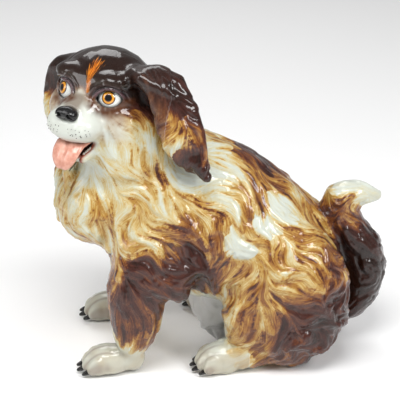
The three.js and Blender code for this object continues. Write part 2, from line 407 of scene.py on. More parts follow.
def hang_chest_locks(skin):
    """Adds the thick locks that hang in tiers from the chest, each with its tip clear of the body."""
    low, high = node_box("torso")
    for across, height, thick in CHEST_LOCKS:
        x = low[0] + across * (high[0] - low[0])
        z = low[2] + height * (high[2] - low[2])
        line = np.stack([np.full(60, x), np.linspace(low[1] - 4, low[1] + 40, 60), np.full(60, z)], axis=1)
        y = line[np.argmax(sample(skin, line) < 0), 1]  # where the chest's surface is, seen from in front
        lean = 0.12 * (x - (low[0] + high[0]) / 2)
        tip = (x + 0.3 * lean, y - 0.5, z)
        points = np.array([(x - lean, y + 6, z + 22), (x - 0.5 * lean, y + 2.5, z + 11), tip])
        cut, start, size = block_between(points.min(0), points.max(0))
        lock = rope(lattice_points(start, size), points, (0.6 * thick, thick, 0.3 * thick))
        skin[cut] = smooth_min(skin[cut], lock, 2.5)


# The castings in the order that numbers them in the owner grid.
BODY = ["torso", "left_foreleg", "right_foreleg", "left_haunch", "right_haunch"]
PAWS = [s + p for s in SIDES for p in ("_front_paw", "_hind_paw")]
EARS = ["left_ear", "right_ear"]
CASTINGS = BODY + PAWS + ["head", "lower_jaw", "belly_tuft", "tail"] + EARS
APART = ["belly_tuft", "tail"] + EARS  # castings whose hair and paint stop at their own edge
FILLETS = {"belly_tuft": 3.0, "tail": 4.0}  # millimetres, where these two leave the body
GROUP = np.array([APART.index(n) + 1 if n in APART else 0 for n in CASTINGS])


class Skin:
    """The distance to the whole glazed body, and which casting each voxel is nearest to."""

    def __init__(self):
        self.distance = np.full(tuple(grid_size), FAR, np.float32)
        self.nearest = np.full(tuple(grid_size), FAR, np.float32)
        self.owner = np.zeros(tuple(grid_size), np.int8)

    def merge(self, node, d, cut, k):
        """Joins a casting's distances to the rest, with a fillet about k millimetres wide."""
        self.distance[cut] = smooth_min(self.distance[cut], d, k)
        nearer = d < self.nearest[cut]
        self.nearest[cut][nearer] = d[nearer]
        self.owner[cut][nearer] = CASTINGS.index(node)


def add_body(skin):
    for node in BODY:
        cut, start, size = block_of([node])
        d = distances(node, start, size)
        if node == "torso":
            d = fill_hollow(d)
        skin.merge(node, d - np.float32(0.2), cut, 9.0)
    skin.distance[:] = soften(skin.distance, sigma=3.2, swell=0.3)
    hang_chest_locks(skin.distance)


def add_paws(skin):
    for node in PAWS:
        cut, start, size = block_of([node])
        paw = blur(distances(node, start, size), 0.8) - np.float32(0.2)
        skin.merge(node, model_toes(paw, lattice_points(start, size), node), cut, 4.0)


def add_head(skin):
    """The head and the lower jaw, modelled as one and then shared between the two castings."""
    cut, start, size = block_of(["head", "lower_jaw"])
    head = fill_hollow(distances("head", start, size))
    jaw = distances("lower_jaw", start, size)
    p = HEAD.into(lattice_points(start, size)).astype(np.float32)
    shaped = model_head(blur(smooth_min(head, jaw, 3.0), 1.4) - np.float32(0.15), p)
    jaw_side = (p[..., 2] < -29.0) & (p[..., 1] < -15.0)
    skin.merge("head", np.where(jaw_side, FAR, shaped), cut, 6.0)
    skin.merge("lower_jaw", np.where(jaw_side, shaped, FAR), cut, 6.0)


def ear_fillet(node, p):
    """A wide fillet where an ear leaves the crown, and a narrow one where it hangs."""
    top = node_box(node)[1][2]
    return (1.0 + 9.0 * smoothstep(top - 20, top - 5, p[..., 2])).astype(np.float32)


def add_tufts_and_ears(skin):
    for node in APART:
        cut, start, size = block_of([node])
        d = blur(distances(node, start, size), 3.0) - np.float32(1.15)
        p = lattice_points(start, size)
        if node == "left_ear":
            for line, fillet in ((EAR_FOLD, 2.5), (EAR_TIP, 3.0)):
                ridge = rope(p, [at(node, place) for place, _ in line], [radius for _, radius in line])
                d = smooth_min(d, ridge, fillet)
        skin.merge(node, d, cut, ear_fillet(node, p) if node in EARS else FILLETS[node])


def build_skin():
    """The whole glazed body without its hair: its distances and its owners."""
    skin = Skin()
    for add in (add_body, add_paws, add_head, add_tufts_and_ears):
        add(skin)
    return skin.distance, skin.owner


skin, owner = build_skin()


def slope(values, points, reach=1.2):
    """The unit gradient of a grid at points."""
    steps = [reach * np.eye(3)[i] for i in range(3)]
    return unit(np.stack([sample(values, points + s) - sample(values, points - s) for s in steps], axis=1))


def to_polygons(d, start, voxel):
    """The points, in millimetres, and the quads of the surface where the distances are 0."""
    grid = vdb.FloatGrid()
    grid.transform = vdb.createLinearTransform(voxelSize=voxel)
    grid.copyFromArray(np.ascontiguousarray(d), ijk=tuple(int(i) for i in start))
    points, _, quads = grid.convertToPolygons(isovalue=0.0, adaptivity=0)
    return points.astype(float), quads


def edge_list(quads):
    return np.concatenate([quads[:, [0, 1]], quads[:, [1, 2]], quads[:, [2, 3]], quads[:, [3, 0]]])


def joined_labels(count, edges):
    """Gives vertices the same number when a run of edges joins them."""
    label = np.arange(count)
    while True:
        low = np.minimum(label[edges[:, 0]], label[edges[:, 1]])
        before = label.copy()
        np.minimum.at(label, edges[:, 0], low)
        np.minimum.at(label, edges[:, 1], low)
        label = label[label]
        label = label[label]
        if (label == before).all():
            return label


def without_strays(casting, edges):
    """Hands each stray patch of a casting to the casting round it, so that every casting is one patch."""
    edges = edges.astype(int)
    label = joined_labels(len(casting), edges[casting[edges[:, 0]] == casting[edges[:, 1]]])
    size = np.bincount(label, minlength=len(casting))[label]
    cleaned = np.full(len(casting), -1)
    for index in range(len(CASTINGS)):
        own = casting == index
        cleaned[own & (size == size[own].max())] = index
    both = np.concatenate([edges, edges[:, ::-1]])
    while (cleaned < 0).any():
        take = (cleaned[both[:, 0]] < 0) & (cleaned[both[:, 1]] >= 0)
        cleaned[both[take, 0]] = cleaned[both[take, 1]]
    return cleaned


def largest_part(points, quads):
    """Keeps the piece of a mesh that holds the most vertices."""
    label = joined_labels(len(points), edge_list(quads).astype(int))
    keep = label == np.bincount(label).argmax()
    renumber = np.cumsum(keep) - 1
    return points[keep], renumber[quads[keep[quads[:, 0]]]]


# ---------------------------------------------------------------- how the hair lies

# For each casting, rows of: a place in its box, the way the hair runs there, relief in mm, length and half
# width of a lock in mm, and how far a lock may curl, in radians. Rows off the middle plane are mirrored.
HAIR = {
    "torso": [
        ((0.5, 0, 0.6), (0, 0.05, -1), 1, 22, 3, 0.6),
        ((0.5, 0.05, 0.78), (0, -0.35, -1), 0.9, 18, 2.6, 0.6),
        ((0.82, 0.08, 0.6), (0.1, 0.15, -1), 1.1, 22, 3, 0.8),
        ((0.75, 0.08, 0.42), (0, 0.45, -1), 1.2, 20, 3, 0.8),
        ((0.5, 0.08, 0.35), (0, 0.5, -1), 1.1, 18, 3, 0.6),
        ((0.82, 0.18, 0.82), (0.1, 0.35, -1), 0.7, 18, 2.6, 0.6),
        ((0.9, 0.25, 0.65), (0.1, 0.45, -1), 1, 22, 3, 0.9),
        ((0.86, 0.32, 0.8), (0.1, 0.7, -0.8), 0.8, 20, 2.8, 0.8),
        ((0.97, 0.38, 0.52), (0.1, 0.5, -1), 1.4, 22, 3.2, 1.1),
        ((0.97, 0.46, 0.58), (0.1, 0.35, -1), 1.4, 22, 3.2, 1.1),
        ((0.97, 0.47, 0.42), (0, 0.3, -1), 2.2, 20, 3.4, 1.6),
        ((0.98, 0.55, 0.45), (0, 0.35, -1), 1.2, 20, 3, 0.9),
        ((0.85, 0.52, 0.7), (0.1, 0.9, -0.7), 0.8, 22, 2.8, 0.9),
        ((0.7, 0.52, 0.78), (0.1, 0.9, -0.4), 0.6, 20, 2.6, 0.7),
        ((0.5, 0.45, 0.85), (0.15, 1, -0.4), 0.5, 20, 2.6, 0.6),
        ((0.5, 0.7, 0.7), (0.15, 0.9, -0.6), 0.4, 22, 2.6, 0.5),
        ((0.95, 0.65, 0.5), (0, 0.6, -0.9), 0.8, 22, 2.8, 0.9),
        ((0.8, 0.75, 0.58), (0.1, 0.7, -0.8), 0.7, 22, 2.8, 0.9),
        ((0.5, 0.92, 0.5), (0.2, 0.5, -0.9), 0.9, 20, 2.8, 0.8),
        ((0.5, 1, 0.25), (0.2, 0.1, -1), 1.4, 20, 3.2, 1.2),
        ((0.8, 0.5, 0.2), (-0.3, 0.8, -0.5), 1, 18, 2.8, 0.9),
        ((0.5, 0.5, 0.1), (0, 1, -0.2), 0.6, 18, 2.8, 0.6),
    ],
    "left_foreleg": [
        ((0.6, 0.05, 0.8), (0, 0.1, -1), 1, 18, 2.8, 0.6),
        ((0.95, 0.45, 0.75), (0, 0.55, -1), 1.6, 20, 3.2, 1),
        ((0.8, 0.85, 0.62), (0, 0.8, -0.7), 2, 16, 3.2, 1.3),
        ((0.95, 0.4, 0.4), (0, 0.4, -1), 0.7, 18, 2.4, 0.5),
        ((0.6, 0.1, 0.35), (0, 0.05, -1), 0.4, 18, 2.2, 0.3),
        ((0.8, 0.35, 0.1), (0, 0.05, -1), 0.3, 16, 2, 0.3),
        ((0.05, 0.5, 0.5), (0, 0.3, -1), 0.9, 18, 2.6, 0.6),
    ],
    "left_front_paw": [
        ((0.6, 0.7, 0.8), (0, -0.3, -1), 0.1, 14, 2, 0.2), ((0.5, 0.3, 0.6), (0, -1, -0.3), 0, 14, 2, 0.1),
    ],
    "left_haunch": [
        ((0.6, 0.25, 0.95), (0.1, 0.4, -0.9), 0.9, 22, 2.8, 0.9),
        ((0.65, 0.6, 0.95), (0.1, 0.65, -0.8), 0.9, 22, 2.8, 0.9),
        ((0.85, 0.25, 0.7), (0, 0.15, -1), 1, 22, 2.8, 0.8),
        ((0.9, 0.6, 0.78), (0, 0.5, -0.9), 1.2, 22, 3, 1),
        ((0.8, 0.9, 0.75), (0, 0.15, -1), 1.3, 20, 3, 1.2),
        ((0.95, 0.4, 0.5), (0, 0.45, -0.9), 1.2, 22, 3, 1),
        ((0.97, 0.6, 0.45), (0, 0.1, -1), 2.1, 20, 3.6, 1.9),
        ((0.85, 0.85, 0.45), (0, 0, -1), 2.1, 20, 3.6, 1.8),
        ((0.9, 0.6, 0.2), (0, -0.15, -1), 1.8, 16, 3.2, 1.5),
        ((0.85, 0.25, 0.35), (0, 0.3, -0.9), 0.8, 20, 2.6, 0.6),
        ((0.8, 0.25, 0.2), (0, -0.8, -0.5), 0.5, 16, 2.4, 0.4),
        ((0.8, 0.45, 0.08), (0, -0.9, -0.3), 0.6, 16, 2.4, 0.5),
        ((0.05, 0.5, 0.6), (0, 0.4, -0.9), 1, 20, 2.8, 0.9),
    ],
    "left_hind_paw": [
        ((0.6, 0.85, 0.7), (0, -1, -0.2), 0.1, 14, 2, 0.2), ((0.5, 0.4, 0.6), (0, -1, -0.3), 0, 14, 2, 0.1),
    ],
    "belly_tuft": [
        ((0.5, 0.5, 0.9), (0, -0.1, -1), 2.4, 16, 3.4, 1.6),
        ((0.5, 0.5, 0.2), (0, 0.1, -1), 2.6, 16, 3.4, 1.6),
    ],
    "tail": [
        ((0.5, 0.05, 0.15), (0, 1, 0.25), 1.1, 24, 3.2, 0.8),
        ((0.5, 0.7, 0.18), (0, 0.9, 0.6), 1.1, 24, 3.2, 0.7),
        ((0.5, 0.98, 0.5), (0, 0, 1), 1.1, 24, 3.2, 0.8),
        ((0.5, 0.6, 0.55), (0, -0.2, 1), 1.1, 24, 3.2, 0.8),
        ((0.5, 0.25, 0.8), (0, -0.35, 1), 1.2, 22, 3, 0.9),
        ((0.5, 0.35, 0.97), (0, 0.8, 0.4), 0.8, 24, 2.8, 0.5),
        ((0.5, 0.9, 0.95), (0, 1, -0.25), 0.6, 24, 2.8, 0.4),
    ],
    "left_ear": [
        ((0.4, 0.2, 0.95), (0.4, 0.4, -0.6), 0.15, 20, 2.4, 0.3),
        ((0.6, 0.5, 0.75), (0.1, 0.35, -1), 0.8, 24, 2.6, 0.7),
        ((0.7, 0.6, 0.5), (0.1, 0.25, -1), 1.4, 24, 2.8, 1.1),
        ((0.6, 0.75, 0.3), (0, 0.3, -1), 1.5, 26, 2.8, 1.1),
        ((0.5, 0.9, 0.08), (0, 0.35, -1), 0.8, 22, 2.8, 0.6),
    ],
    "right_ear": [
        ((0.5, 0.4, 0.92), (-0.3, 0.1, -0.8), 0.15, 20, 2.4, 0.3),
        ((0.5, 0.5, 0.55), (0, 0, -1), 1.3, 24, 2.8, 1), ((0.5, 0.5, 0.1), (0, 0.1, -1), 1.1, 24, 2.8, 0.8),
    ],
}
# The same in the head's own frame, where it faces -Y.
HEAD_HAIR = [
    ((0, 0, 33), (0, 1, 0), 0, 20, 2.2, 0.2), ((0, -28, 14), (0, 0.6, 0.8), 0, 12, 1.8, 0.2),
    ((20, -12, 24), (0.5, 0.8, 0), 0, 16, 2, 0.2), ((32, 4, 8), (0.1, 0.7, -0.7), 0.1, 16, 2, 0.3),
    ((0, 36, 12), (0, 0.3, -1), 0.4, 20, 2.4, 0.4), ((22, 30, 0), (0.3, 0.3, -1), 0.7, 20, 2.4, 0.5),
    ((31, 2, -8), (0.1, 0.6, -0.8), 0.5, 14, 2, 0.5),
    ((24, -10, -12), (0.5, 0.8, -0.4), 0.15, 12, 1.8, 0.4),
    ((26, 6, -24), (0.1, 0.5, -1), 0.7, 16, 2.4, 0.7), ((12, -30, -12), (0.4, 0.9, -0.2), 0, 12, 1.8, 0.1),
    ((0, -44, -18), (0, 0, -1), 0, 12, 1.8, 0.1), ((10, -24, -40), (0.2, 1, -0.4), 0.1, 12, 2, 0.3),
    ((0, -10, -44), (0, 0.5, -1), 0.7, 16, 2.4, 0.5),
]


def mirrored(table):
    """A table's rows as casting, place in mm, side and values, with their copies across the middle."""
    for node, rows in table.items():
        twin = node.replace("left_", "right_")
        for place, *values in rows:
            yield node, at(node, place), 1, values
            across = (1 - place[0], *place[1:])
            if twin != node and node not in EARS or (node == "torso" and across != place):
                yield twin, at(twin, across), -1, values


def mirrored_head(rows):
    """The same for rows in the head's frame."""
    for place, *values in rows:
        for side in ((1, -1) if place[0] else (1,)):
            yield HEAD.out(np.array(place) * (side, 1, 1)), side, values


def hair_table():
    """Where the hair's way and style are given, in millimetres, and what they are there."""
    places, values = [], []
    for _, place, side, (way, *style) in mirrored(HAIR):
        places.append(place)
        values.append([*unit(way) * (side, 1, 1), *style])
    for place, side, (way, *style) in mirrored_head(HEAD_HAIR):
        places.append(place)
        values.append([*HEAD.turn_out(unit(way) * (side, 1, 1)), *style])
    return np.array(places), np.array(values)


hair_places, hair_values = hair_table()


def square_distances(points, places):
    return (points ** 2).sum(1)[:, None] + (places ** 2).sum(1)[None] - 2 * points @ places.T


def hair_at(points, soft=6.0):
    """The hair's way and style at points: averages of the table's rows that favour the nearest."""
    weight = 1 / (np.maximum(square_distances(points, hair_places), 0) + soft ** 2) ** 2
    return (weight / weight.sum(1, keepdims=True)) @ hair_values


def tangent(way, normal):
    return unit(way - normal * (way * normal).sum(1, keepdims=True))


def turned(way, normal, angle):
    c, s = np.cos(angle)[:, None], np.sin(angle)[:, None]
    return way * c + np.cross(normal, way) * s


class Finder:
    """Finds the skin's vertex nearest to a point that lies close to the skin."""

    def __init__(self, points):
        cell = self.cell_of(points)
        self.table = np.full(tuple(grid_size + 4), -1, np.int32)
        for offset in sorted(itertools.product((-1, 0, 1), repeat=3), key=lambda o: -sum(map(abs, o))):
            i, j, k = (cell + np.array(offset)).T
            self.table[i, j, k] = np.arange(len(points))

    def cell_of(self, points):
        return np.clip(np.floor(points / VOXEL).astype(int) - grid_low + 1, 1, grid_size + 2)

    def __call__(self, points, otherwise):
        i, j, k = self.cell_of(points).T
        found = self.table[i, j, k]
        return np.where(found < 0, otherwise, found)


class Fur:
    """The skin's vertices with the hair's style and direction at each of them."""

    def __init__(self, points, normals, group):
        self.points, self.normals, self.group = points, normals, group
        self.find = Finder(points)
        self.style = np.concatenate([hair_at(part) for part in np.array_split(points, 12)])
        way = tangent(self.style[:, :3], normals)
        sway = 1.5 * noise(points, size=20.0, seed=3) + 0.7 * noise(points, size=9.0, seed=4)
        self.way = turned(way, normals, self.style[:, 6] * sway)

    def step(self, x, v, reach, stray=None):
        """Moves points on along the hair from the vertices nearest to them; negative goes back."""
        way = self.way[v]
        if stray is not None:
            way = turned(way, self.normals[v], stray)
        x = x + way * reach
        x = x - self.normals[v] * ((x - self.points[v]) * self.normals[v]).sum(1, keepdims=True)
        return x, self.find(x, v)

    def comb(self, values, steps, stride):
        """Values averaged along the way the hair runs, scaled to a spread of 1."""
        total = values.copy()
        for reach in (stride, -stride):
            x, v = self.points, np.arange(len(self.points))
            for _ in range(steps):
                x, v = self.step(x, v, reach)
                total += values[v]
        return total / total.std(axis=0)


STEPS = 9  # pieces that a lock's centre line is made of
RELIEF = 1.5  # how boldly the hair is modelled
LEAST_RELIEF = 0.12  # millimetres; where the hair is flatter, no lock has its root
LOCK_DEPTH = 2.6  # millimetres; a lock lies on no vertex farther above or below it


def trace_locks(fur, spacing, scale, lift):
    """Locks rooted about `spacing` apart: their centre lines, normals, sizes in millimetres and groups."""
    cells = np.floor(fur.points / spacing).astype(np.int64)
    order = rng.permutation(len(fur.points))
    _, chosen = np.unique(cells[order], axis=0, return_index=True)
    v = order[chosen]
    v = v[fur.style[v, 3] > LEAST_RELIEF]
    x, group = fur.points[v], fur.group[v]
    relief, length, width = fur.style[v, 3:6].T
    vary = rng.random((len(x), 4))
    length = length * (0.8 + 0.6 * vary[:, 0]) * scale ** 0.5
    width = width * (0.9 + 0.6 * vary[:, 1]) * scale
    relief = lift * relief * (0.5 + 0.7 * vary[:, 2])
    stray = 0.5 * (vary[:, 3] - 0.5)
    path, normals = [x], []
    for _ in range(STEPS):
        normals.append(fur.normals[v])
        x, v = fur.step(x, v, (length / STEPS)[:, None], stray)
        path.append(x)
    return SimpleNamespace(path=np.stack(path, 1), normals=np.stack(normals, 1), length=length, width=width,
                           relief=relief, group=group)


def leaf(s):
    """A lock's width along its length: full soon after its root, and drawn to a point at its tip."""
    root = 0.55 + 0.45 * smoothstep(0, 0.3, s)
    return root * np.sqrt(np.clip(1 - ((s - 0.35) / 0.65).clip(0) ** 2, 0, 1))


def neighbours(points, places, cell):
    """Pairs of a place and a point near it, from the place's own cell and the cells round that one."""
    base = np.floor(points.min(0) / cell).astype(np.int64) - 2
    span = np.floor(points.max(0) / cell).astype(np.int64) - base + 3

    def key(cells):
        c = cells - base
        return (c[:, 0] * span[1] + c[:, 1]) * span[2] + c[:, 2]

    keys = key(np.floor(points / cell).astype(np.int64))
    order = np.argsort(keys, kind="stable")
    keys = keys[order]
    home = np.floor(places / cell).astype(np.int64)
    for offset in itertools.product((-1, 0, 1), repeat=3):
        wanted = key(home + np.array(offset))
        start = np.searchsorted(keys, wanted, "left")
        count = np.searchsorted(keys, wanted, "right") - start
        place = np.repeat(np.arange(len(places)), count)
        local = np.arange(len(place)) - np.repeat(np.cumsum(count) - count, count)
        yield place, order[start[place] + local]


def lay_locks(fur, locks):
    """For each vertex, the lock on top there: its number, height, place across in mm and place along, 0 to 1.

    A vertex without a lock has the number -1.
    """
    path = locks.path
    number = np.repeat(np.arange(len(path)), STEPS)
    step = np.tile(np.arange(STEPS), len(path))
    middle = (0.5 * (path[:, 1:] + path[:, :-1])).reshape(-1, 3)
    way = unit(path[:, 1:] - path[:, :-1]).reshape(-1, 3)
    normal = locks.normals.reshape(-1, 3)
    side = np.cross(normal, way)
    half_step = np.repeat(locks.length, STEPS) / STEPS / 2
    found = []
    for piece, vertex in neighbours(fur.points, middle, locks.width.max() + 0.1):
        r = fur.points[vertex] - middle[piece]
        along = (r * way[piece]).sum(1)
        near = np.abs(along) <= half_step[piece] * 1.15
        piece, vertex, r, along = piece[near], vertex[near], r[near], along[near]
        lock = number[piece]
        s = np.clip((step[piece] + 0.5 + along / (2 * half_step[piece])) / STEPS, 0, 1)
        across = (r * side[piece]).sum(1)
        u = across / (locks.width[lock] * leaf(s) + 0.05)  # from -1 to 1 between the lock's edges
        near = (np.abs(u) < 1) & (np.abs((r * normal[piece]).sum(1)) < LOCK_DEPTH)
        near &= (fur.normals[vertex] * normal[piece]).sum(1) > 0.25
        near &= fur.group[vertex] == locks.group[lock]
        lock, vertex, s, u, across = lock[near], vertex[near], s[near], u[near], across[near]
        rise = (0.15 + 0.85 * s ** 0.8) * (1 - smoothstep(0.94, 1.0, s) * 0.6)
        height = locks.relief[lock] * rise * (1 - np.abs(u) ** 2.2) ** 0.7
        found.append((vertex, height, lock, across, s))
    vertex, height, lock, across, s = (np.concatenate(f) for f in zip(*found))
    order = np.argsort(height, kind="stable")
    top = np.full(len(fur.points), -1)
    top[vertex[order]] = order  # the highest comes last, and stays
    bare = top < 0
    pick = np.where(bare, 0, top)
    return SimpleNamespace(number=np.where(bare, -1, lock[pick]), height=np.where(bare, 0, height[pick]),
                           across=np.where(bare, 0, across[pick]), along=np.where(bare, 0, s[pick]))


def neighbour_mean(values, edges, passes):
    """Each vertex's value averaged with its neighbours'."""
    count = np.bincount(edges[:, 0], minlength=len(values)) + np.bincount(edges[:, 1], minlength=len(values))
    for _ in range(passes):
        total = np.bincount(edges[:, 0], values[edges[:, 1]], len(values))
        total += np.bincount(edges[:, 1], values[edges[:, 0]], len(values))
        values = 0.5 * values + 0.5 * total / count
    return values


# ---------------------------------------------------------------- the enamel painting


def colour(code):
    """A linear colour from its sRGB hex code."""
    channels = np.array([int(code[i:i + 2], 16) for i in (0, 2, 4)]) / 255
    return np.where(channels <= 0.04045, channels / 12.92, ((channels + 0.055) / 1.055) ** 2.4)


# Tones run from 0, bare white glaze, through straw, ochre and brown to 4, the blackish brown of the crown.
TONES = [(0.0, "C6CBC1"), (0.5, "C5BF9F"), (1.0, "C3AA70"), (1.5, "AD853F"), (2.0, "91602B"), (2.5, "6B3C20"),
         (3.1, "46241D"), (3.6, "34170F"), (4.2, "1C0C05")]
# On the smooth front of the face, dark and white meet through these, without any ochre between.
FACE_TONES = [(0.0, "D0D4CB"), (0.8, "C2B8A2"), (1.8, "8D6F53"), (2.8, "5A3826"), (3.5, "331C14"),
              (4.2, "1D0D06")]
DARKEST = TONES[-1][0]
# For each casting, rows of: a place in its box, reach in mm, tone. Rows off the middle plane are mirrored.
PATCHES = {
    "torso": [
        ((0.5, 0, 0.62), 22, 1), ((0.5, 0.05, 0.42), 18, 1.1), ((0.5, 0.1, 0.82), 14, 0.2),
        ((0.72, 0.05, 0.6), 12, 0.95), ((0.76, 0.06, 0.5), 8, 1.7), ((0.8, 0.16, 0.75), 10, 0.4),
        ((0.84, 0.22, 0.82), 10, 0.3), ((0.85, 0.23, 0.66), 14, 0.9), ((0.85, 0.14, 0.5), 14, 0.95),
        ((0.86, 0.3, 0.8), 9, 0.9), ((0.87, 0.33, 0.71), 8, 1.5), ((0.92, 0.33, 0.62), 10, 0.95),
        ((0.9, 0.4, 0.72), 9, 0.4), ((0.96, 0.42, 0.62), 8, 0.9), ((0.96, 0.3, 0.5), 9, 0.8),
        ((0.97, 0.37, 0.48), 6, 1.7), ((0.98, 0.44, 0.55), 6, 1.9), ((0.96, 0.5, 0.58), 6, 1.9),
        ((0.98, 0.44, 0.45), 8, 3.2), ((0.97, 0.45, 0.38), 10.5, 3.5), ((0.98, 0.54, 0.52), 7, 2),
        ((0.99, 0.54, 0.44), 6, 1.9), ((0.97, 0.57, 0.38), 6, 1.6), ((0.82, 0.54, 0.7), 10, 0.2),
        ((0.84, 0.59, 0.66), 5, 1.6), ((0.86, 0.67, 0.61), 5, 2), ((0.94, 0.62, 0.55), 5, 1.8),
        ((0.97, 0.62, 0.45), 6, 0.2), ((0.96, 0.61, 0.52), 5, 0.3), ((0.9, 0.71, 0.53), 7, 0.2),
        ((0.81, 0.77, 0.55), 7, 0.4), ((0.48, 0.65, 0.73), 11, 3.3), ((0.5, 0.71, 0.69), 12, 3.6),
        ((0.72, 0.7, 0.66), 6, 2.3), ((0.64, 0.66, 0.71), 6, 2.1), ((0.58, 0.76, 0.64), 8, 2),
        ((0.66, 0.78, 0.61), 6, 1.8), ((0.67, 0.84, 0.54), 6, 1.9), ((0.5, 0.84, 0.56), 9, 1.8),
        ((0.75, 0.84, 0.52), 8, 1.1), ((0.68, 0.9, 0.46), 8, 1.4), ((0.5, 0.92, 0.45), 10, 1.9),
        ((0.66, 0.54, 0.77), 9, 0.6), ((0.72, 0.57, 0.73), 8, 0.4), ((0.55, 0.58, 0.77), 7, 1.7),
        ((0.5, 0.45, 0.84), 12, 1), ((0.94, 0.7, 0.46), 9, 1.4), ((0.72, 0.48, 0.14), 14, 0.3),
        ((0.5, 0.5, 0.1), 22, 0.3), ((0.5, 1, 0.2), 18, 3.3),
    ],
    "left_foreleg": [
        ((0.6, 0.06, 0.85), 10, 1.3), ((0.6, 0.06, 0.7), 8, 1.8), ((0.45, 0.1, 0.5), 8, 2.4),
        ((0.95, 0.4, 0.68), 12, 3.2), ((0.8, 0.85, 0.62), 14, 3.5), ((0.98, 0.36, 0.42), 11, 3.1),
        ((0.88, 0.2, 0.22), 9, 2.6), ((0.72, 0.48, 0.1), 7, 2.1), ((0.5, 0.1, 0), 7, 0.2),
        ((0.55, 0, 0.13), 5, 0.3), ((0.1, 0.5, 0.6), 14, 1.6), ((0.1, 0.4, 0.15), 10, 0.8),
    ],
    "left_front_paw": [((0.5, 0.6, 0.9), 9, 0), ((0.5, 0.3, 0.4), 14, 0)],
    "left_haunch": [
        ((0.68, 0.5, 0.95), 10, 1.5), ((0.8, 0.08, 0.6), 10, 1.5), ((0.75, 0.08, 0.35), 9, 1.6),
        ((0.52, 0.79, 0.91), 8, 1.4), ((0.66, 0.82, 0.84), 8, 1.8), ((0.75, 0.86, 0.71), 9, 2.4),
        ((0.88, 0.28, 0.68), 9, 1.5), ((0.87, 0.46, 0.82), 7, 1.4), ((0.93, 0.49, 0.73), 7, 1.7),
        ((0.83, 0.65, 0.84), 7, 1.5), ((0.88, 0.69, 0.75), 8, 1.8), ((0.85, 0.82, 0.6), 10, 3.4),
        ((0.98, 0.57, 0.56), 8, 2.7), ((0.96, 0.38, 0.59), 7, 1.8), ((0.86, 0.22, 0.55), 7, 1.5),
        ((0.97, 0.5, 0.38), 9, 3.3), ((0.94, 0.66, 0.37), 11, 3.5), ((0.95, 0.34, 0.45), 6, 1.9),
        ((0.88, 0.25, 0.38), 7, 1.6), ((0.84, 0.29, 0.27), 6, 2.1), ((0.85, 0.52, 0.2), 8, 3),
        ((0.79, 0.68, 0.16), 9, 3.3), ((0.7, 0.4, 0.1), 6, 2.2), ((0.66, 0.14, 0.16), 6, 0.9),
        ((0.1, 0.5, 0.6), 18, 1.8),
    ],
    "left_hind_paw": [((0.55, 0.95, 0.6), 6, 0.9), ((0.5, 0.5, 0.5), 13, 0)],
    "belly_tuft": [((0.5, 0.5, 0.5), 22, 0)],
    "tail": [
        ((0.5, 0.6, 0.97), 11, 0), ((0.5, 0.95, 0.95), 12, 0), ((0.5, 0.2, 0.92), 6, 1.2),
        ((0.5, 0.3, 0.8), 9, 2.5), ((0.5, 0.55, 0.72), 9, 2.6), ((0.5, 0.75, 0.55), 14, 4),
        ((0.5, 0.75, 0.25), 18, 4.1), ((0.5, 0.15, 0.1), 12, 3.4),
    ],
    "left_ear": [
        ((0.5, 0.1, 0.97), 9, 4.1), ((0.61, 0.15, 0.91), 6, 2.9), ((0.7, 0.54, 0.89), 8, 3.9),
        ((0.72, 0.25, 0.83), 6, 3.3), ((0.74, 0.69, 0.8), 8, 3.8), ((0.84, 0.38, 0.69), 5, 2.6),
        ((0.84, 0.78, 0.66), 8, 3.8), ((0.93, 0.53, 0.56), 5, 2.2), ((0.93, 0.44, 0.48), 5, 2.8),
        ((0.98, 0.57, 0.42), 5, 1.8), ((0.97, 0.7, 0.5), 5, 3.6), ((0.92, 0.77, 0.55), 3, 1.6),
        ((0.97, 0.54, 0.3), 3, 0.4), ((0.99, 0.76, 0.36), 5, 1.9), ((0.94, 0.61, 0.18), 6, 3.2),
        ((0.96, 0.84, 0.13), 8, 3.8), ((0.92, 0.96, 0.27), 6, 2.8), ((0.1, 0.5, 0.5), 14, 3.4),
    ],
    "right_ear": [
        ((0.5, 0.5, 0.9), 12, 4.1), ((0.59, 0.21, 0.73), 8, 3.7), ((0.5, 0.45, 0.56), 7, 2.9),
        ((0.56, 0.09, 0.4), 5, 0.5), ((0.5, 0.7, 0.36), 6, 1.9), ((0.5, 0.3, 0.28), 5, 1.2),
        ((0.5, 0.4, 0.1), 8, 3.3),
    ],
}
# The same in the head's own frame: place in mm, reach and tone.
HEAD_PATCHES = [
    ((0, 4, 33), 24, 4.2), ((0, -14, 24), 14, 4.2), ((16, -14, 22), 12, 4.1), ((24, -12, 14), 7, 4),
    ((30, 4, 14), 12, 4.1), ((0, 32, 14), 24, 4), ((24, 24, 10), 14, 4), ((15, -26, 9.5), 4.5, 3.8),
    ((7.5, -26, 4.5), 3.5, 3.4), ((5, -24, 10), 5, 3.8), ((32, 0, 0), 6, 2.7), ((26, -12, 3), 4, 3.4),
    ((31, 6, -6), 7, 2.2), ((30, 0, -13), 8, 1.4), ((21, -19, -5), 4, 1.6), ((24, -15, -10), 5, 1.2),
    ((26, -9, -11), 6, 1.5), ((26, 4, -22), 9, 0.9), ((24, 20, -12), 14, 1.1), ((0, 30, -12), 16, 1.3),
    ((20, -10, -22), 10, 0.2), ((11, -28, -6), 5, 0), ((10, -34, -14), 12, 0), ((0, -42, -18), 10, 0),
    ((0, -28, 3), 4, 0.2), ((0, -36, 0), 4, 0.1), ((8, -24, -40), 12, 0.1), ((0, -10, -44), 14, 0.3),
]


def patch_table():
    """The patches' middles in millimetres, and their reaches, tones and groups."""
    rows = [(place, *values, GROUP[CASTINGS.index(node)]) for node, place, _, values in mirrored(PATCHES)]
    rows += [(place, *values, 0) for place, _, values in mirrored_head(HEAD_PATCHES)]
    return [np.array(column) for column in zip(*rows)]


patch_places, patch_reach, patch_tone, patch_group = patch_table()


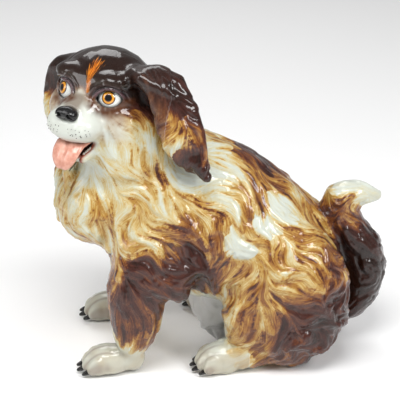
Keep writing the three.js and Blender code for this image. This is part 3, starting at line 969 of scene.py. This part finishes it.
def tone_at(points, group):
    """The painted tone at points: the patches meet along edges about as wide as a brush stroke."""
    square = square_distances(points, patch_places)
    square += 1e5 * (group[:, None] != patch_group)  # a patch doesn't reach another group's castings
    nearness = -2.2 * np.sqrt(np.maximum(square, 0) + 1) / patch_reach
    weight = np.exp(np.maximum(nearness - nearness.max(1, keepdims=True), -30) * 1.6)
    return (weight @ patch_tone) / weight.sum(1)


def face_enamel(tone):
    """The colour of a tone on the face."""
    steps = [t for t, _ in FACE_TONES]
    shades = np.array([colour(c) for _, c in FACE_TONES])
    return np.stack([np.interp(tone, steps, shades[:, i]) for i in range(3)], axis=1)


def mix(a, b, amount):
    return a + (np.asarray(b) - a) * np.asarray(amount)[:, None]


# How strongly a tone varies from stroke to stroke: white and black least, the browns most.
LIVELY_TONES = (0, 0.35, 0.8, 1.5, 2.4, 3.2, 4.2)
LIVELY = (0.25, 0.6, 0.65, 0.85, 0.9, 0.7, 0.25)


def paint_body(fur, layers, ridges, strokes):
    """The painted tone of the whole skin, stroke by stroke along the hair, and how lively its fine lines are.

    Each layer is its locks, the lock on top at each vertex, and its share. A vertex takes its tone partly
    from its locks' middles, so that one lock is one stroke of the brush.
    """
    middle = np.zeros_like(fur.points)
    own = np.zeros(len(fur.points))
    for locks, top, share in layers:
        hairy = top.number >= 0
        middle += share * np.where(hairy[:, None], locks.path[top.number, STEPS // 2], fur.points)
        chance = hashed(top.number[:, None] * (1, 0, 0) + (0, 5, 0), 7)  # one draw for each lock
        own += 0.3 * np.where(hairy, chance, 0)
    tone = tone_at(0.35 * fur.points + 0.65 * middle, fur.group)
    hairy = smoothstep(0.08, 0.2, fur.style[:, 3])
    lively = np.interp(tone, LIVELY_TONES, LIVELY) * hairy
    # Lighter on the combed ridges of the hair and darker in the hollows between them: partly the brown that
    # the strokes leave in the grooves, partly painted shade in the hollows and painted light on the crests.
    tone = tone + lively * (own - 0.42 * ridges + 0.22 * strokes)
    dash = smoothstep(0.9, 1.9, strokes) * smoothstep(0.35, 0.9, tone) * (1 - smoothstep(2.4, 3.2, tone))
    tone = tone + np.interp(tone, (1.0, 1.7), (0.55, 0.95)) * dash * hairy
    return np.clip(tone, 0, DARKEST), lively


def spot(points, centre, radii):
    """1 at a place, falling to 0 over about the given reach each way."""
    return np.exp(-(((points - np.array(centre)) / np.array(radii)) ** 2).sum(-1))


# The blaze's middle line up the brow in the head's frame, and half its width at each point, in millimetres.
BLAZE = np.array(((5.0, -28.5, 6.0), (4.2, -27.0, 12.5), (3.4, -23.8, 18.7), (2.8, -19.3, 23.8)))
BLAZE_WIDTH = (1.6, 2.6, 4.4, 6.5)
FAN = 14  # millimetres of hair across for each radian round the blaze's foot


def blaze_at(points):
    """How firmly the orange blaze covers the brow, and the fan of hairs round its foot: across and along."""
    p = HEAD.into(points)
    amount = np.zeros(len(p))
    for i, (a, b) in enumerate(itertools.pairwise(BLAZE)):
        off, t = to_segment(p, a, b)
        half = np.interp(i + t, range(len(BLAZE)), BLAZE_WIDTH)
        amount = np.maximum(amount, np.clip(1 - off / half, 0, 1) * (1 - 0.45 * smoothstep(1.6, 3.0, i + t)))
    across, forward, up = (p - BLAZE[0]).T
    rise = np.hypot(forward, up)
    turn = FAN * np.arctan2(across, rise)
    return amount, np.stack([turn, rise, np.zeros(len(p))], axis=1)


class Overlay:
    """Colour laid over the coat: a tint, and how much of the coat it hides."""

    def __init__(self, count):
        self.tint, self.cover = np.ones((count, 3)), np.zeros(count)

    def lay(self, tint, amount):
        amount = np.clip(amount, 0, 1)
        cover = amount + self.cover * (1 - amount)
        share = amount / np.maximum(cover, 1e-6)
        self.tint = self.tint + (np.asarray(tint) - self.tint) * share[:, None]
        self.cover = cover


def paint_face(points, tone, whole):
    """Bridge, a painted grey reflection on the brows, cheeks, lids and mouth, painted in the head's frame."""
    p = HEAD.into(points)
    face = np.flatnonzero((np.abs(p) < 60).all(axis=1))
    p = p[face]
    over = Overlay(len(p))
    smooth = smoothstep(-13, -21, p[:, 1]) * smoothstep(-30, -20, p[:, 2])
    over.lay(face_enamel(tone[face]), smooth)
    soft = noise(p, size=5.0, seed=22)
    fine = noise(p * (1, 0.5, 0.5), size=1.4, seed=21)
    bridge = spot(p, (0, -31, 1), (6, 9, 6)) + spot(p, (0, -39, -3), (7.5, 5, 5))
    over.lay(colour("7C7063"), np.clip(1.3 * bridge * (0.85 + 0.3 * soft), 0, 0.9))
    for x in (-1, 1):
        # Painted reflection: light grey laid over the dark brow ridge above each eye.
        over.lay(colour("8A8474"), 0.75 * spot(p, (x * 13, -19.5, 13.0), (8, 6, 2.4)))
        over.lay(colour("B9B7B0"), 0.35 * spot(p, (x * 14, -34, -21.5), (6, 6, 3)))
        cheek = spot(p, (x * 22, -19.5, -8.5), (6.5, 7, 4.2)) * (0.9 + 0.5 * fine)
        over.lay(colour("7A4A2C"), 0.75 * cheek)
    paint_lids(p, fine, over)
    paint_mouth(p, over)
    whole.tint[face], whole.cover[face] = over.tint, over.cover


def paint_lids(p, fine, over):
    """Dark lids with painted shade in their creases and a painted highlight above each eye, a brown shadow
    below, and a black edge all round.
    """
    for side in SIDES:
        q = eye_frame(side).into(p)
        front = (q[:, 1] < 2) & (np.linalg.norm(q, axis=1) < BALL + 7)
        wide = (q[:, 1] < 6) & (np.linalg.norm(q, axis=1) < BALL + 12)
        edge = almond(q)
        above = smoothstep(-1.0, 2.5, q[:, 2])
        lid = front * (1 - smoothstep(2.4, 6.5, edge)) * above
        over.lay(mix(np.tile(colour("4A3136"), (len(p), 1)), colour("2A1817"), 0.5 + 0.5 * fine), 0.9 * lid)
        # Painted shade: near black laid in the grooves of the lid's folds.
        crease_shade = np.exp(-((edge - 3.1) / 0.6) ** 2) + 0.6 * np.exp(-((edge - 6.2) / 0.7) ** 2)
        over.lay(colour("120806"), 0.85 * (front * crease_shade * above))
        # Painted highlight: lilac grey laid on the swell of the lid just above the eye's edge.
        shine = front * np.exp(-((edge - 1.6) / 0.6) ** 2) * above
        over.lay(colour("7A5F66"), 0.45 * shine)
        below = wide * (1 - smoothstep(3.5, 10.0, edge)) * (1 - above)
        over.lay(colour("553019"), below * (0.85 + 0.4 * fine))
        over.lay(colour("160B09"), front * (1 - smoothstep(0.1, 0.8, edge)))


def paint_mouth(p, over):
    """Flesh-coloured lips, and near black painted as shade on the walls of the gap between them."""
    gap = mouth_gap(p)
    lower = smoothstep(-26.0, -29.5, p[:, 2])
    front = smoothstep(-12, -17, p[:, 1])
    over.lay(colour("96543F"), (1 - smoothstep(1.4, 3.6, gap)) * (0.25 + 0.75 * lower) * front)
    # Painted shade: the walls of the mouth's gap painted near black.
    over.lay(colour("150908"), (1 - smoothstep(0.0, 0.8, gap)) * front)


def paint_paws(points, whole):
    """A beige tint over the paws, fading out towards their tops, and painted shade in the grooves between the
    toes.
    """
    for paw in PAWS:
        low, high = node_box(paw)
        f = (points - low) / (high - low)
        inside = ((f > -0.15) & (f < 1.1)).all(axis=1) & (f[:, 2] < 0.95)
        soft = noise(points, size=6.0, seed=31)
        toe = np.min([np.abs(points[:, 0] - at(c, (0.5, 0.5, 0.5))[0]) for c in claws_of(paw)], axis=0)
        front = 1 - smoothstep(0.35, 0.6, f[:, 1])
        # A beige tint over each paw, fading out towards its top.
        whole.lay(colour("B1A68F"), inside * (0.6 + 0.3 * soft) * (1 - smoothstep(0.6, 0.95, f[:, 2])))
        # Painted shade: grey brown laid in the grooves between the toes, at the paw's front.
        whole.lay(colour("80706A"), inside * front * smoothstep(1.6, 3.4, toe) * 0.55)


# ---------------------------------------------------------------- materials


class Nodes:
    """A material's node tree, with one call to add a node, set its inputs and link them."""

    def __init__(self, name):
        self.material = bpy.data.materials.new(name)
        self.material.use_nodes = True
        self.tree = self.material.node_tree
        self.shader = self.tree.nodes["Principled BSDF"]

    def add(self, kind, links=(), **settings):
        node = self.tree.nodes.new("ShaderNode" + kind)
        for key, value in settings.items():
            if key in node.inputs:
                node.inputs[key].default_value = value
            else:
                setattr(node, key, value)
        for socket, source in dict(links).items():
            self.tree.links.new(source, node.inputs[socket])
        return node

    def into_shader(self, socket, source):
        self.tree.links.new(source, self.shader.inputs[socket])

    def bump(self, height, strength):
        bump = self.add("Bump", {"Height": height}, Strength=strength, Distance=0.3 * MM)
        self.into_shader("Normal", bump.outputs["Normal"])


def fill(n, node, sources):
    """Sets each of a node's inputs to a number, or links it to a socket."""
    for socket, source in sources.items():
        if isinstance(source, float):
            node.inputs[socket].default_value = source
        else:
            n.tree.links.new(source, node.inputs[socket])


def math_node(n, operation, first, second):
    node = n.add("Math", operation=operation)
    fill(n, node, {0: first, 1: second})
    return node.outputs[0]


def mix_node(n, factor, a, b, blend="MIX"):
    """Two colours mixed; the colour inputs of Blender's Mix node are 6 and 7, and its colour output is 2."""
    node = n.add("Mix", data_type="RGBA", blend_type=blend)
    fill(n, node, {0: factor, 6: a, 7: b})
    return node.outputs[2]


def ranged(n, source, low, high, to_low, to_high):
    node = n.add("MapRange")
    fill(n, node, {"Value": source, "From Min": low, "From Max": high, "To Min": to_low, "To Max": to_high})
    return node.outputs["Result"]


def filled_ramp(n, source, stops):
    """A colour ramp with the given stops of position and sRGB code."""
    ramp = n.add("ValToRGB", {"Fac": source})
    elements = ramp.color_ramp.elements
    elements[0].position, elements[-1].position = stops[0][0], stops[-1][0]
    for position, _ in stops[1:-1]:
        elements.new(position)
    for element, (_, code) in zip(elements, stops):
        element.color = (*colour(code), 1)
    return ramp.outputs["Color"]


def glazed(name):
    """Painted enamel under glaze: the tone is broken into fine hair lines, then overlay and blaze go on."""
    n = Nodes(name)
    coat = n.add("SeparateXYZ", {0: n.add("Attribute", attribute_name="coat").outputs["Vector"]})
    strand = n.add("Attribute", attribute_name="strand").outputs["Vector"]
    stretch = n.add("VectorMath", {0: strand}, operation="MULTIPLY")
    stretch.inputs[1].default_value = (1.0, 0.07, 1.0)
    lines = n.add("TexNoise", {"Vector": stretch.outputs[0]}, Scale=1.25, Detail=2.0).outputs[0]
    push = math_node(n, "MULTIPLY", math_node(n, "SUBTRACT", lines, 0.5), coat.outputs["Y"])
    tone = math_node(n, "ADD", push, coat.outputs["X"])
    painted = filled_ramp(n, tone, [(t / DARKEST, code) for t, code in TONES])
    over = n.add("Attribute", attribute_name="overlay")
    covered = mix_node(n, over.outputs["Alpha"], painted, over.outputs["Color"])
    hairs = n.add("TexNoise", {"Vector": stretch.outputs[0]}, Scale=1.9, Detail=2.0).outputs[0]
    fray = math_node(n, "MULTIPLY", math_node(n, "SUBTRACT", hairs, 0.5), 2.6)
    frayed = math_node(n, "ADD", coat.outputs["Z"], fray)
    blaze = ranged(n, frayed, 0.25, 0.5, 0.0, 1.0)
    shown = math_node(n, "MULTIPLY", blaze, ranged(n, coat.outputs["Z"], 0.0, 0.25, 0.0, 1.0))
    flame = filled_ramp(n, hairs, [(0.3, "6E2807"), (0.45, "AC520C"), (0.6, "D07C1C")])
    n.into_shader("Base Color", mix_node(n, shown, covered, flame))
    place = n.add("NewGeometry").outputs["Position"]
    speck = n.add("TexNoise", {"Vector": place}, Scale=900.0, Detail=2.0).outputs[0]
    n.into_shader("Roughness", ranged(n, speck, 0.0, 1.0, 0.24, 0.34))
    n.shader.inputs["Specular IOR Level"].default_value = 0.15
    n.shader.inputs["Coat Weight"].default_value = 0.7
    n.shader.inputs["Coat Roughness"].default_value = 0.05
    n.bump(lines, 0.6)
    return n.material


def enamelled(name, dark, light, roughness, scale, bump=0.2):
    """One enamel colour, mottled between two shades, under a glaze."""
    n = Nodes(name)
    place = n.add("NewGeometry").outputs["Position"]
    mottle = n.add("TexNoise", {"Vector": place}, Scale=scale, Detail=3.0)
    n.into_shader("Base Color", filled_ramp(n, mottle.outputs[0], [(0.3, dark), (0.7, light)]))
    n.shader.inputs["Roughness"].default_value = roughness
    n.bump(mottle.outputs[0], bump)
    return n.material


def eye_enamel():
    """Rings round the line of sight: pupil, amber iris with fine spokes, dark rim, white."""
    n = Nodes("eye_amber")
    look = n.add("Attribute", attribute_name="look")
    split = n.add("SeparateXYZ", {0: look.outputs["Vector"]})
    rings = filled_ramp(n, split.outputs["X"], [
        (0.0, "0A0706"), (0.235, "0A0706"), (0.265, "5A2A08"), (0.30, "D88A1C"), (0.40, "E9A62C"),
        (0.455, "B86A12"), (0.49, "1A0D08"), (0.53, "20120C"), (0.56, "E9EAE4"), (0.75, "F2F3EE"),
        (1.0, "DAD8D2")])
    spokes = n.add("TexNoise", {"Vector": look.outputs["Vector"]}, Scale=9.0, Detail=1.0).outputs[0]
    n.into_shader("Base Color", mix_node(n, 1.0, rings, ranged(n, spokes, 0.0, 1.0, 0.75, 1.15), "MULTIPLY"))
    n.shader.inputs["Roughness"].default_value = 0.06
    n.shader.inputs["Coat Weight"].default_value = 0.6
    n.shader.inputs["Coat Roughness"].default_value = 0.03
    return n.material


# ---------------------------------------------------------------- pieces


def add_piece(name, points, faces, material, slot, nodes, normals=None, attributes=()):
    """A mesh object, points in millimetres, that rides on the figure and stands for its nodes."""
    mesh = bpy.data.meshes.new(name)
    mesh.from_pydata((points * MM).tolist(), [], faces)
    for attribute_name, kind, values in attributes:
        attribute = mesh.attributes.new(attribute_name, kind, "POINT")
        field = "color" if kind == "FLOAT_COLOR" else "vector"
        attribute.data.foreach_set(field, np.ascontiguousarray(values, np.float32).ravel())
    mesh.shade_smooth()
    if normals is not None:
        mesh.normals_split_custom_set_from_vertices(normals.tolist())
    mesh.materials.append(material)
    piece = bpy.data.objects.new(name, mesh)
    bpy.context.collection.objects.link(piece)
    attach(piece, "root")
    if nodes:
        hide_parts(*nodes)


def vertex_normals(points, quads):
    diagonal = np.cross(points[quads[:, 2]] - points[quads[:, 0]], points[quads[:, 3]] - points[quads[:, 1]])
    total = np.stack([sum(np.bincount(quads[:, c], diagonal[:, i], len(points)) for c in range(4))
                      for i in range(3)], axis=1)
    return unit(total)


def cap_centre(rim):
    """The point near a rim's middle from which a fan out to the rim stays best inside the body."""
    offsets = np.array(list(itertools.product(range(-24, 25, 6), repeat=3)))
    centres = rim.mean(0) + offsets
    some = rim[:: len(rim) // 120 + 1]
    outside = 0
    for share in (0.0, 0.2, 0.4, 0.6, 0.8):
        between = (1 - share) * centres[:, None] + share * some
        distance = sample(skin, between.reshape(-1, 3)).reshape(len(centres), -1)
        outside = outside + np.maximum(distance + 0.4, 0).sum(1)
    return centres[np.argmin(outside + 0.002 * np.linalg.norm(offsets, axis=1))]


def closed_part(points, quads):
    """A cut-out patch of the skin made into a closed body: each open rim is fanned to a point within."""
    used, quads = np.unique(quads, return_inverse=True)
    quads = quads.reshape(-1, 4)
    edges = edge_list(quads)
    code = np.sort(edges, axis=1) @ np.array((len(used), 1))
    _, first, count = np.unique(code, return_index=True, return_counts=True)
    rim = edges[first[count == 1]]
    groups = joined_labels(len(used), rim)[rim[:, 0]]
    names = np.unique(groups)
    centres = np.array([cap_centre(points[used][rim[groups == g, 0]]) for g in names]).reshape(-1, 3)
    hub = len(used) + np.searchsorted(names, groups)
    fans = np.stack([rim[:, 1], rim[:, 0], hub], axis=1)
    return used, centres, quads.tolist() + fans.tolist()


SLOTS = {"torso": "cream_coat", "head": "dark_crown", "lower_jaw": "white_muzzle", "belly_tuft": "white_tuft",
         "tail": "dark_tail"}
for side in SIDES:
    SLOTS[side + "_foreleg"] = "brown_leg"
    SLOTS[side + "_haunch"] = "ochre_coat"
    SLOTS[side + "_ear"] = "dark_ear"
    SLOTS[side + "_front_paw"] = SLOTS[side + "_hind_paw"] = "white_paw"


def smooth_casting(node, voxel, sigma, grow, shape=None):
    """A small casting rebuilt on a fine lattice: its facets are smoothed away, and it grows a little."""
    low, high = node_box(node)
    start = np.floor((low - 3) / voxel).astype(int)
    size = np.ceil((high + 3) / voxel).astype(int) - start
    d = blur(distances(node, start, size, voxel), sigma) - np.float32(grow)
    if shape is not None:
        d = shape(d, HEAD.into(lattice_points(start, size, voxel)).astype(np.float32))
    points, quads = to_polygons(d.astype(np.float32), start, voxel)
    return largest_part(points, quads)


def tongue_shape(d, p):
    """A groove down the middle."""
    return d + 0.6 * np.exp(-((p[..., 0] - 1) / 1.8) ** 2)


def nose_shape(p):
    """The nose's distances in the head's frame: a pad with two wings, nostrils and a cleft."""
    q = (p - (NOSE + (0.2, 0.8, -0.5)).astype(np.float32)) / np.float32(0.93)
    d = ellipsoid(q, (0, 0.5, 0.4), (7.6, 5.6, 4.8))
    for x in (-1, 1):
        d = smooth_min(d, ellipsoid(q, (x * 4.9, -0.6, -0.7), (3.6, 4.9, 3.9)), 1.6)
    for x in (-1, 1):
        d = smooth_max(d, -ellipsoid(q, (x * 3.9, -5.4, -1.0), (1.7, 3.0, 1.4)), 0.5)
        d = smooth_max(d, -capsule(q, (x * 5.2, -5.0, -1.4), (x * 8.2, -1.6, -2.6), 0.6), 0.5)
    return smooth_max(d, -capsule(q, (0, -6.4, 0.5), (0, -5.0, -5.0), 0.45), 0.5) * np.float32(0.93)


def local_piece(shape, low, high, voxel):
    """A mesh in the figure's frame of a form given as distances in the head's frame."""
    start = np.floor(np.array(low) / voxel).astype(int)
    size = np.ceil(np.array(high) / voxel).astype(int) - start
    points, quads = to_polygons(shape(lattice_points(start, size, voxel)).astype(np.float32), start, voxel)
    points, quads = largest_part(points, quads)
    return HEAD.out(points), quads


def teeth_shape(p):
    """Two rows of small teeth that stand along the lower jaw's edges."""
    d = np.full(p.shape[:-1], 9.0, np.float32)
    for x in SIDES.values():
        for t in np.linspace(0, 1, 8):
            place = np.array((x * (12.2 - 2.1 * t), -17.5 - 12.5 * t, -27.2 - 8.2 * t))
            d = smooth_min(d, ellipsoid(p, place, (0.85, 1.0, 1.5)), 0.3)
        d = smooth_min(d, capsule(p, (x * 12.6, -17, -28.2), (x * 10.4, -30.5, -37.1), 0.9), 0.4)
    return d


def add_teeth():
    """Both rows, each a closed body, in one piece."""
    points, faces = [], []
    for x in SIDES.values():
        low = np.array((min(x * 7, x * 15), -34, -42))
        part, quads = local_piece(teeth_shape, low, low + (8, 20, 18), 0.4)
        faces += (quads + sum(len(q) for q in points)).tolist()
        points.append(part)
    enamel = enamelled("teeth", "8F8B80", "D8D5C8", roughness=0.15, scale=700.0)
    add_piece("lower_teeth", np.concatenate(points), faces, enamel, "white_muzzle", [])


def globe_faces(rings, around):
    """The faces of a globe whose points are rings from pole to pole and then the first and the last pole."""
    faces = []
    last, first_pole = (rings - 1) * around, rings * around
    for j in range(around):
        k = (j + 1) % around
        starts = range(0, last, around)
        faces += [(r + j, r + k, r + around + k, r + around + j) for r in starts]
        faces += [(first_pole, k, j), (first_pole + 1, last + j, last + k)]
    return faces


def add_whisker_dots():
    """The dark dots in rows on both sides of the muzzle, a little proud of the glaze."""
    turns, tilts = np.meshgrid(np.arange(8) * np.pi / 4, np.array((-0.9, -0.3, 0.3, 0.9)))
    rings = np.stack([np.cos(tilts) * np.cos(turns), np.cos(tilts) * np.sin(turns), np.sin(tilts)], axis=-1)
    ball = np.concatenate([rings.reshape(-1, 3), ((0, 0, -1), (0, 0, 1))])
    points, faces = [], []
    for x, row, k in itertools.product(SIDES.values(), range(3), range(6)):
        jitter = 1.5 * (rng.random(3) - 0.5)  # millimetres
        dot = (x * (3.4 + 2.6 * k + 0.9 * row), -44 + 1.3 * k, -18.4 - 2.2 * row + 0.4 * k)
        place = HEAD.out(dot + jitter)[None]
        for _ in range(6):  # settles the dot onto the skin
            place = place - slope(skin, place) * sample(skin, place)[:, None]
        faces += [tuple(i + len(points) * len(ball) for i in face) for face in globe_faces(4, 8)]
        points.append(place + ball * (0.22 + 0.16 * rng.random()))
    enamel = enamelled("whisker_brown", "1C1512", "3A2A22", roughness=0.2, scale=900.0)
    add_piece("whisker_dots", np.concatenate(points), faces, enamel, "white_muzzle", [])


def add_nose():
    points, quads = local_piece(nose_shape, NOSE - 12, NOSE + 12, 0.4)
    enamel = enamelled("nose_black", "0B0A0A", "1C1B1B", roughness=0.16, scale=1500.0, bump=0.35)
    add_piece("nose_leather", points, quads.tolist(), enamel, "nose_black", ["nose"])


def add_tongue():
    points, quads = smooth_casting("tongue", voxel=0.6, sigma=1.6, grow=0.5, shape=tongue_shape)
    enamel = enamelled("tongue_pink", "C58672", "E2AE9B", roughness=0.15, scale=260.0, bump=0.3)
    add_piece("tongue_flesh", points, quads.tolist(), enamel, "tongue_pink", ["tongue"])


def add_claws():
    enamel = enamelled("claw_black", "0A0908", "211D1A", roughness=0.14, scale=900.0)
    for claw in sorted(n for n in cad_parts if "_claw_" in n):
        points, quads = smooth_casting(claw, voxel=0.4, sigma=1.0, grow=0.2)
        add_piece(claw + "_enamel", points, quads.tolist(), enamel, "claw_black", [claw])


def add_eye(side, material):
    """An eyeball: rings round its line of sight, with a low cornea over the iris."""
    steps, around = 44, 64
    sight = unit(GAZE[side])
    across = unit(np.cross(sight, (0, 0, 1)))
    over = np.cross(across, sight)
    angle = np.pi * np.arange(1, steps)[:, None] / steps
    turn = 2 * np.pi * np.arange(around)[None] / around
    radius = BALL - 0.1 + 0.45 * np.exp(-(angle / 0.5) ** 4)
    ring = (np.cos(angle)[..., None] * sight + (np.sin(angle) * np.cos(turn))[..., None] * across +
            (np.sin(angle) * np.sin(turn))[..., None] * over) * radius[..., None]
    ends = np.array([sight * (BALL + 0.35), -sight * (BALL - 0.1)])
    local = np.concatenate([ring.reshape(-1, 3), ends]) + SOCKET[side]
    spread = np.concatenate([np.repeat(angle.ravel(), around), (0, np.pi)])
    turns = np.concatenate([np.tile(turn.ravel(), len(angle)), (0, 0)])
    look = np.stack([spread, np.cos(turns), np.sin(turns)], axis=1)
    add_piece(side + "_eyeball", HEAD.out(local), globe_faces(len(angle), around), material, "eye_amber",
              [side + "_eye"], attributes=[("look", "FLOAT_VECTOR", look)])


def comb_hair(points, quads, casting):
    """The hair over the skin: its height in millimetres, its painted tone, and what the brush follows."""
    fur = Fur(points, slope(skin, points), GROUP[casting])
    small_locks = trace_locks(fur, spacing=5.4, scale=1.0, lift=RELIEF)
    big_locks = trace_locks(fur, spacing=12.0, scale=2.0, lift=1.6 * RELIEF)
    small, big = lay_locks(fur, small_locks), lay_locks(fur, big_locks)
    ridges = fur.comb(noise(points, size=3.4, seed=8), steps=9, stride=1.3)
    strokes = fur.comb(noise(points, size=1.5, seed=9), steps=6, stride=1.1)
    relief = fur.style[:, 3]
    height = 0.75 * small.height + 0.8 * big.height + relief * (0.6 * np.tanh(0.8 * ridges) + 0.12 * strokes)
    height = neighbour_mean(height - RELIEF * relief, edge_list(quads), passes=2)
    tone, lively = paint_body(fur, ((small_locks, small, 0.3), (big_locks, big, 0.7)), ridges, strokes)
    run = small.along * small_locks.length[small.number]
    in_lock = np.stack([small.across, run, small.number * 1.37 % 97], axis=1)  # each lock has its own layer
    return SimpleNamespace(fur=fur, height=height, tone=tone, lively=lively, strokes=strokes, relief=relief,
                           hairy=small.number >= 0, in_lock=in_lock)


def coat_attributes(points, casting, hair):
    """What the glaze's material reads at each vertex: coat, colour laid over it, and place in its lock."""
    over = Overlay(len(points))
    over.lay(colour("D2D2D4"), 0.85 * (casting == CASTINGS.index("belly_tuft")))
    paint_face(points, hair.tone, over)
    paint_paws(points, over)
    blaze, fan = blaze_at(points)
    loose = hair.strokes[:, None] * (1.6, 0, 0)
    loose = np.where((hair.relief < 0.1)[:, None], fan, loose)
    strand = np.where(hair.hairy[:, None], hair.in_lock, loose)
    coat = np.stack([hair.tone / DARKEST, 3.2 * hair.lively / DARKEST, blaze], axis=1)
    overlay = np.concatenate([over.tint, over.cover[:, None]], axis=1)
    return [("overlay", "FLOAT_COLOR", overlay), ("coat", "FLOAT_VECTOR", coat),
            ("strand", "FLOAT_VECTOR", strand)]


def build_coat():
    """The painted skin, cut into a closed piece for each casting."""
    points, quads = largest_part(*to_polygons(skin, grid_low, VOXEL))
    i, j, k = np.round(points / VOXEL - grid_low).astype(int).T
    casting = without_strays(owner[i, j, k].astype(int), edge_list(quads))
    hair = comb_hair(points, quads, casting)
    attributes = coat_attributes(points, casting, hair)
    whole = points + hair.fur.normals * hair.height[:, None]
    whole[:, 2] = np.maximum(whole[:, 2], 0.05)  # nothing reaches through the floor
    normals = vertex_normals(whole, quads)
    materials = {slot: glazed(slot) for slot in sorted(set(SLOTS.values()))}
    for index, node in enumerate(CASTINGS):
        used, centres, faces = closed_part(whole, quads[casting[quads[:, 0]] == index])
        layers = [(name, kind, np.concatenate([values[used], np.zeros((len(centres), values.shape[1]))]))
                  for name, kind, values in attributes]
        part_normals = np.concatenate([normals[used], np.tile((0, 0, 1), (len(centres), 1))])
        add_piece(node + "_glazed", np.concatenate([whole[used], centres]), faces, materials[SLOTS[node]],
                  SLOTS[node], [node], part_normals, layers)


build_coat()
eye_material = eye_enamel()
for side in SIDES:
    add_eye(side, eye_material)
add_nose()
add_teeth()
add_whisker_dots()
add_tongue()
add_claws()

# ---------------------------------------------------------------- camera, floor and light


def look_at(location, target):
    """The rotation that points a camera's or a light's -Z at the target."""
    return (Vector(target) - Vector(location)).to_track_quat("-Z", "Y").to_euler()


def on_sphere(target, azimuth, elevation, distance):
    """A point at a distance from the target; azimuth 0 looks along +Y with +X to the right."""
    a, e = math.radians(azimuth), math.radians(elevation)
    back = Vector((math.sin(a) * math.cos(e), -math.cos(a) * math.cos(e), math.sin(e)))
    return Vector(target) + back * distance


CAMERA_TURN, CAMERA_RISE, CAMERA_DISTANCE = 87, 24, 1.0  # degrees, degrees, metres
LENS = 128.6  # millimetres
AIM = (0.0464, -0.0526, 0.0017)  # where the camera aims, from the middle of the figure in shares of its size


def set_camera():
    low, high = np.array(cad_box[0]), np.array(cad_box[1])
    target = (low + high) / 2 + (high - low) * np.array(AIM)
    camera = bpy.data.objects.new("camera", bpy.data.cameras.new("camera"))
    bpy.context.collection.objects.link(camera)
    camera.data.lens = LENS
    camera.data.dof.use_dof = False
    camera.location = on_sphere(target, CAMERA_TURN, CAMERA_RISE, CAMERA_DISTANCE)
    camera.rotation_euler = look_at(camera.location, target)
    bpy.context.scene.camera = camera


# Each softbox: name, azimuth and elevation in degrees, distance and size in metres, watts.
SOFTBOXES = [
    ("top_softbox", 75, 62, 1.1, (0.6, 0.4), 8.2),
    ("front_softbox", 25, 30, 1.2, (0.35, 0.7), 3.8),
    ("back_softbox", 140, 35, 1.2, (0.25, 0.6), 7.4),
    ("far_softbox", 280, 45, 1.3, (0.7, 0.5), 4),
]


def area_light(name, azimuth, elevation, distance, size, watts, target=(0, 0, 0.11)):
    lamp = bpy.data.lights.new(name, "AREA")
    lamp.shape = "RECTANGLE"
    lamp.size, lamp.size_y = size
    lamp.energy = watts
    piece = bpy.data.objects.new(name, lamp)
    bpy.context.collection.objects.link(piece)
    piece.location = on_sphere(target, azimuth, elevation, distance)
    piece.rotation_euler = look_at(piece.location, target)


def set_studio():
    world = bpy.data.worlds.new("studio")
    bpy.context.scene.world = world
    world.use_nodes = True
    background = world.node_tree.nodes["Background"]
    background.inputs["Color"].default_value = (1, 1, 1, 1)
    background.inputs["Strength"].default_value = 0.30
    for softbox in SOFTBOXES:
        area_light(*softbox)
    bpy.context.scene.view_settings.view_transform = "Standard"


def add_floor():
    bpy.ops.mesh.primitive_plane_add(size=6)
    floor = bpy.context.object
    floor.name = "floor"
    material = bpy.data.materials.new("floor")
    material.use_nodes = True
    shader = material.node_tree.nodes["Principled BSDF"]
    shader.inputs["Base Color"].default_value = (0.95, 0.95, 0.95, 1)
    shader.inputs["Roughness"].default_value = 0.6
    floor.data.materials.append(material)
    floor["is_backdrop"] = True


set_camera()
set_studio()
add_floor()
boxes = {"cad": cad_box, "visual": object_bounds()}
{k: [list(v[0]), list(v[1])] for k, v in boxes.items()}
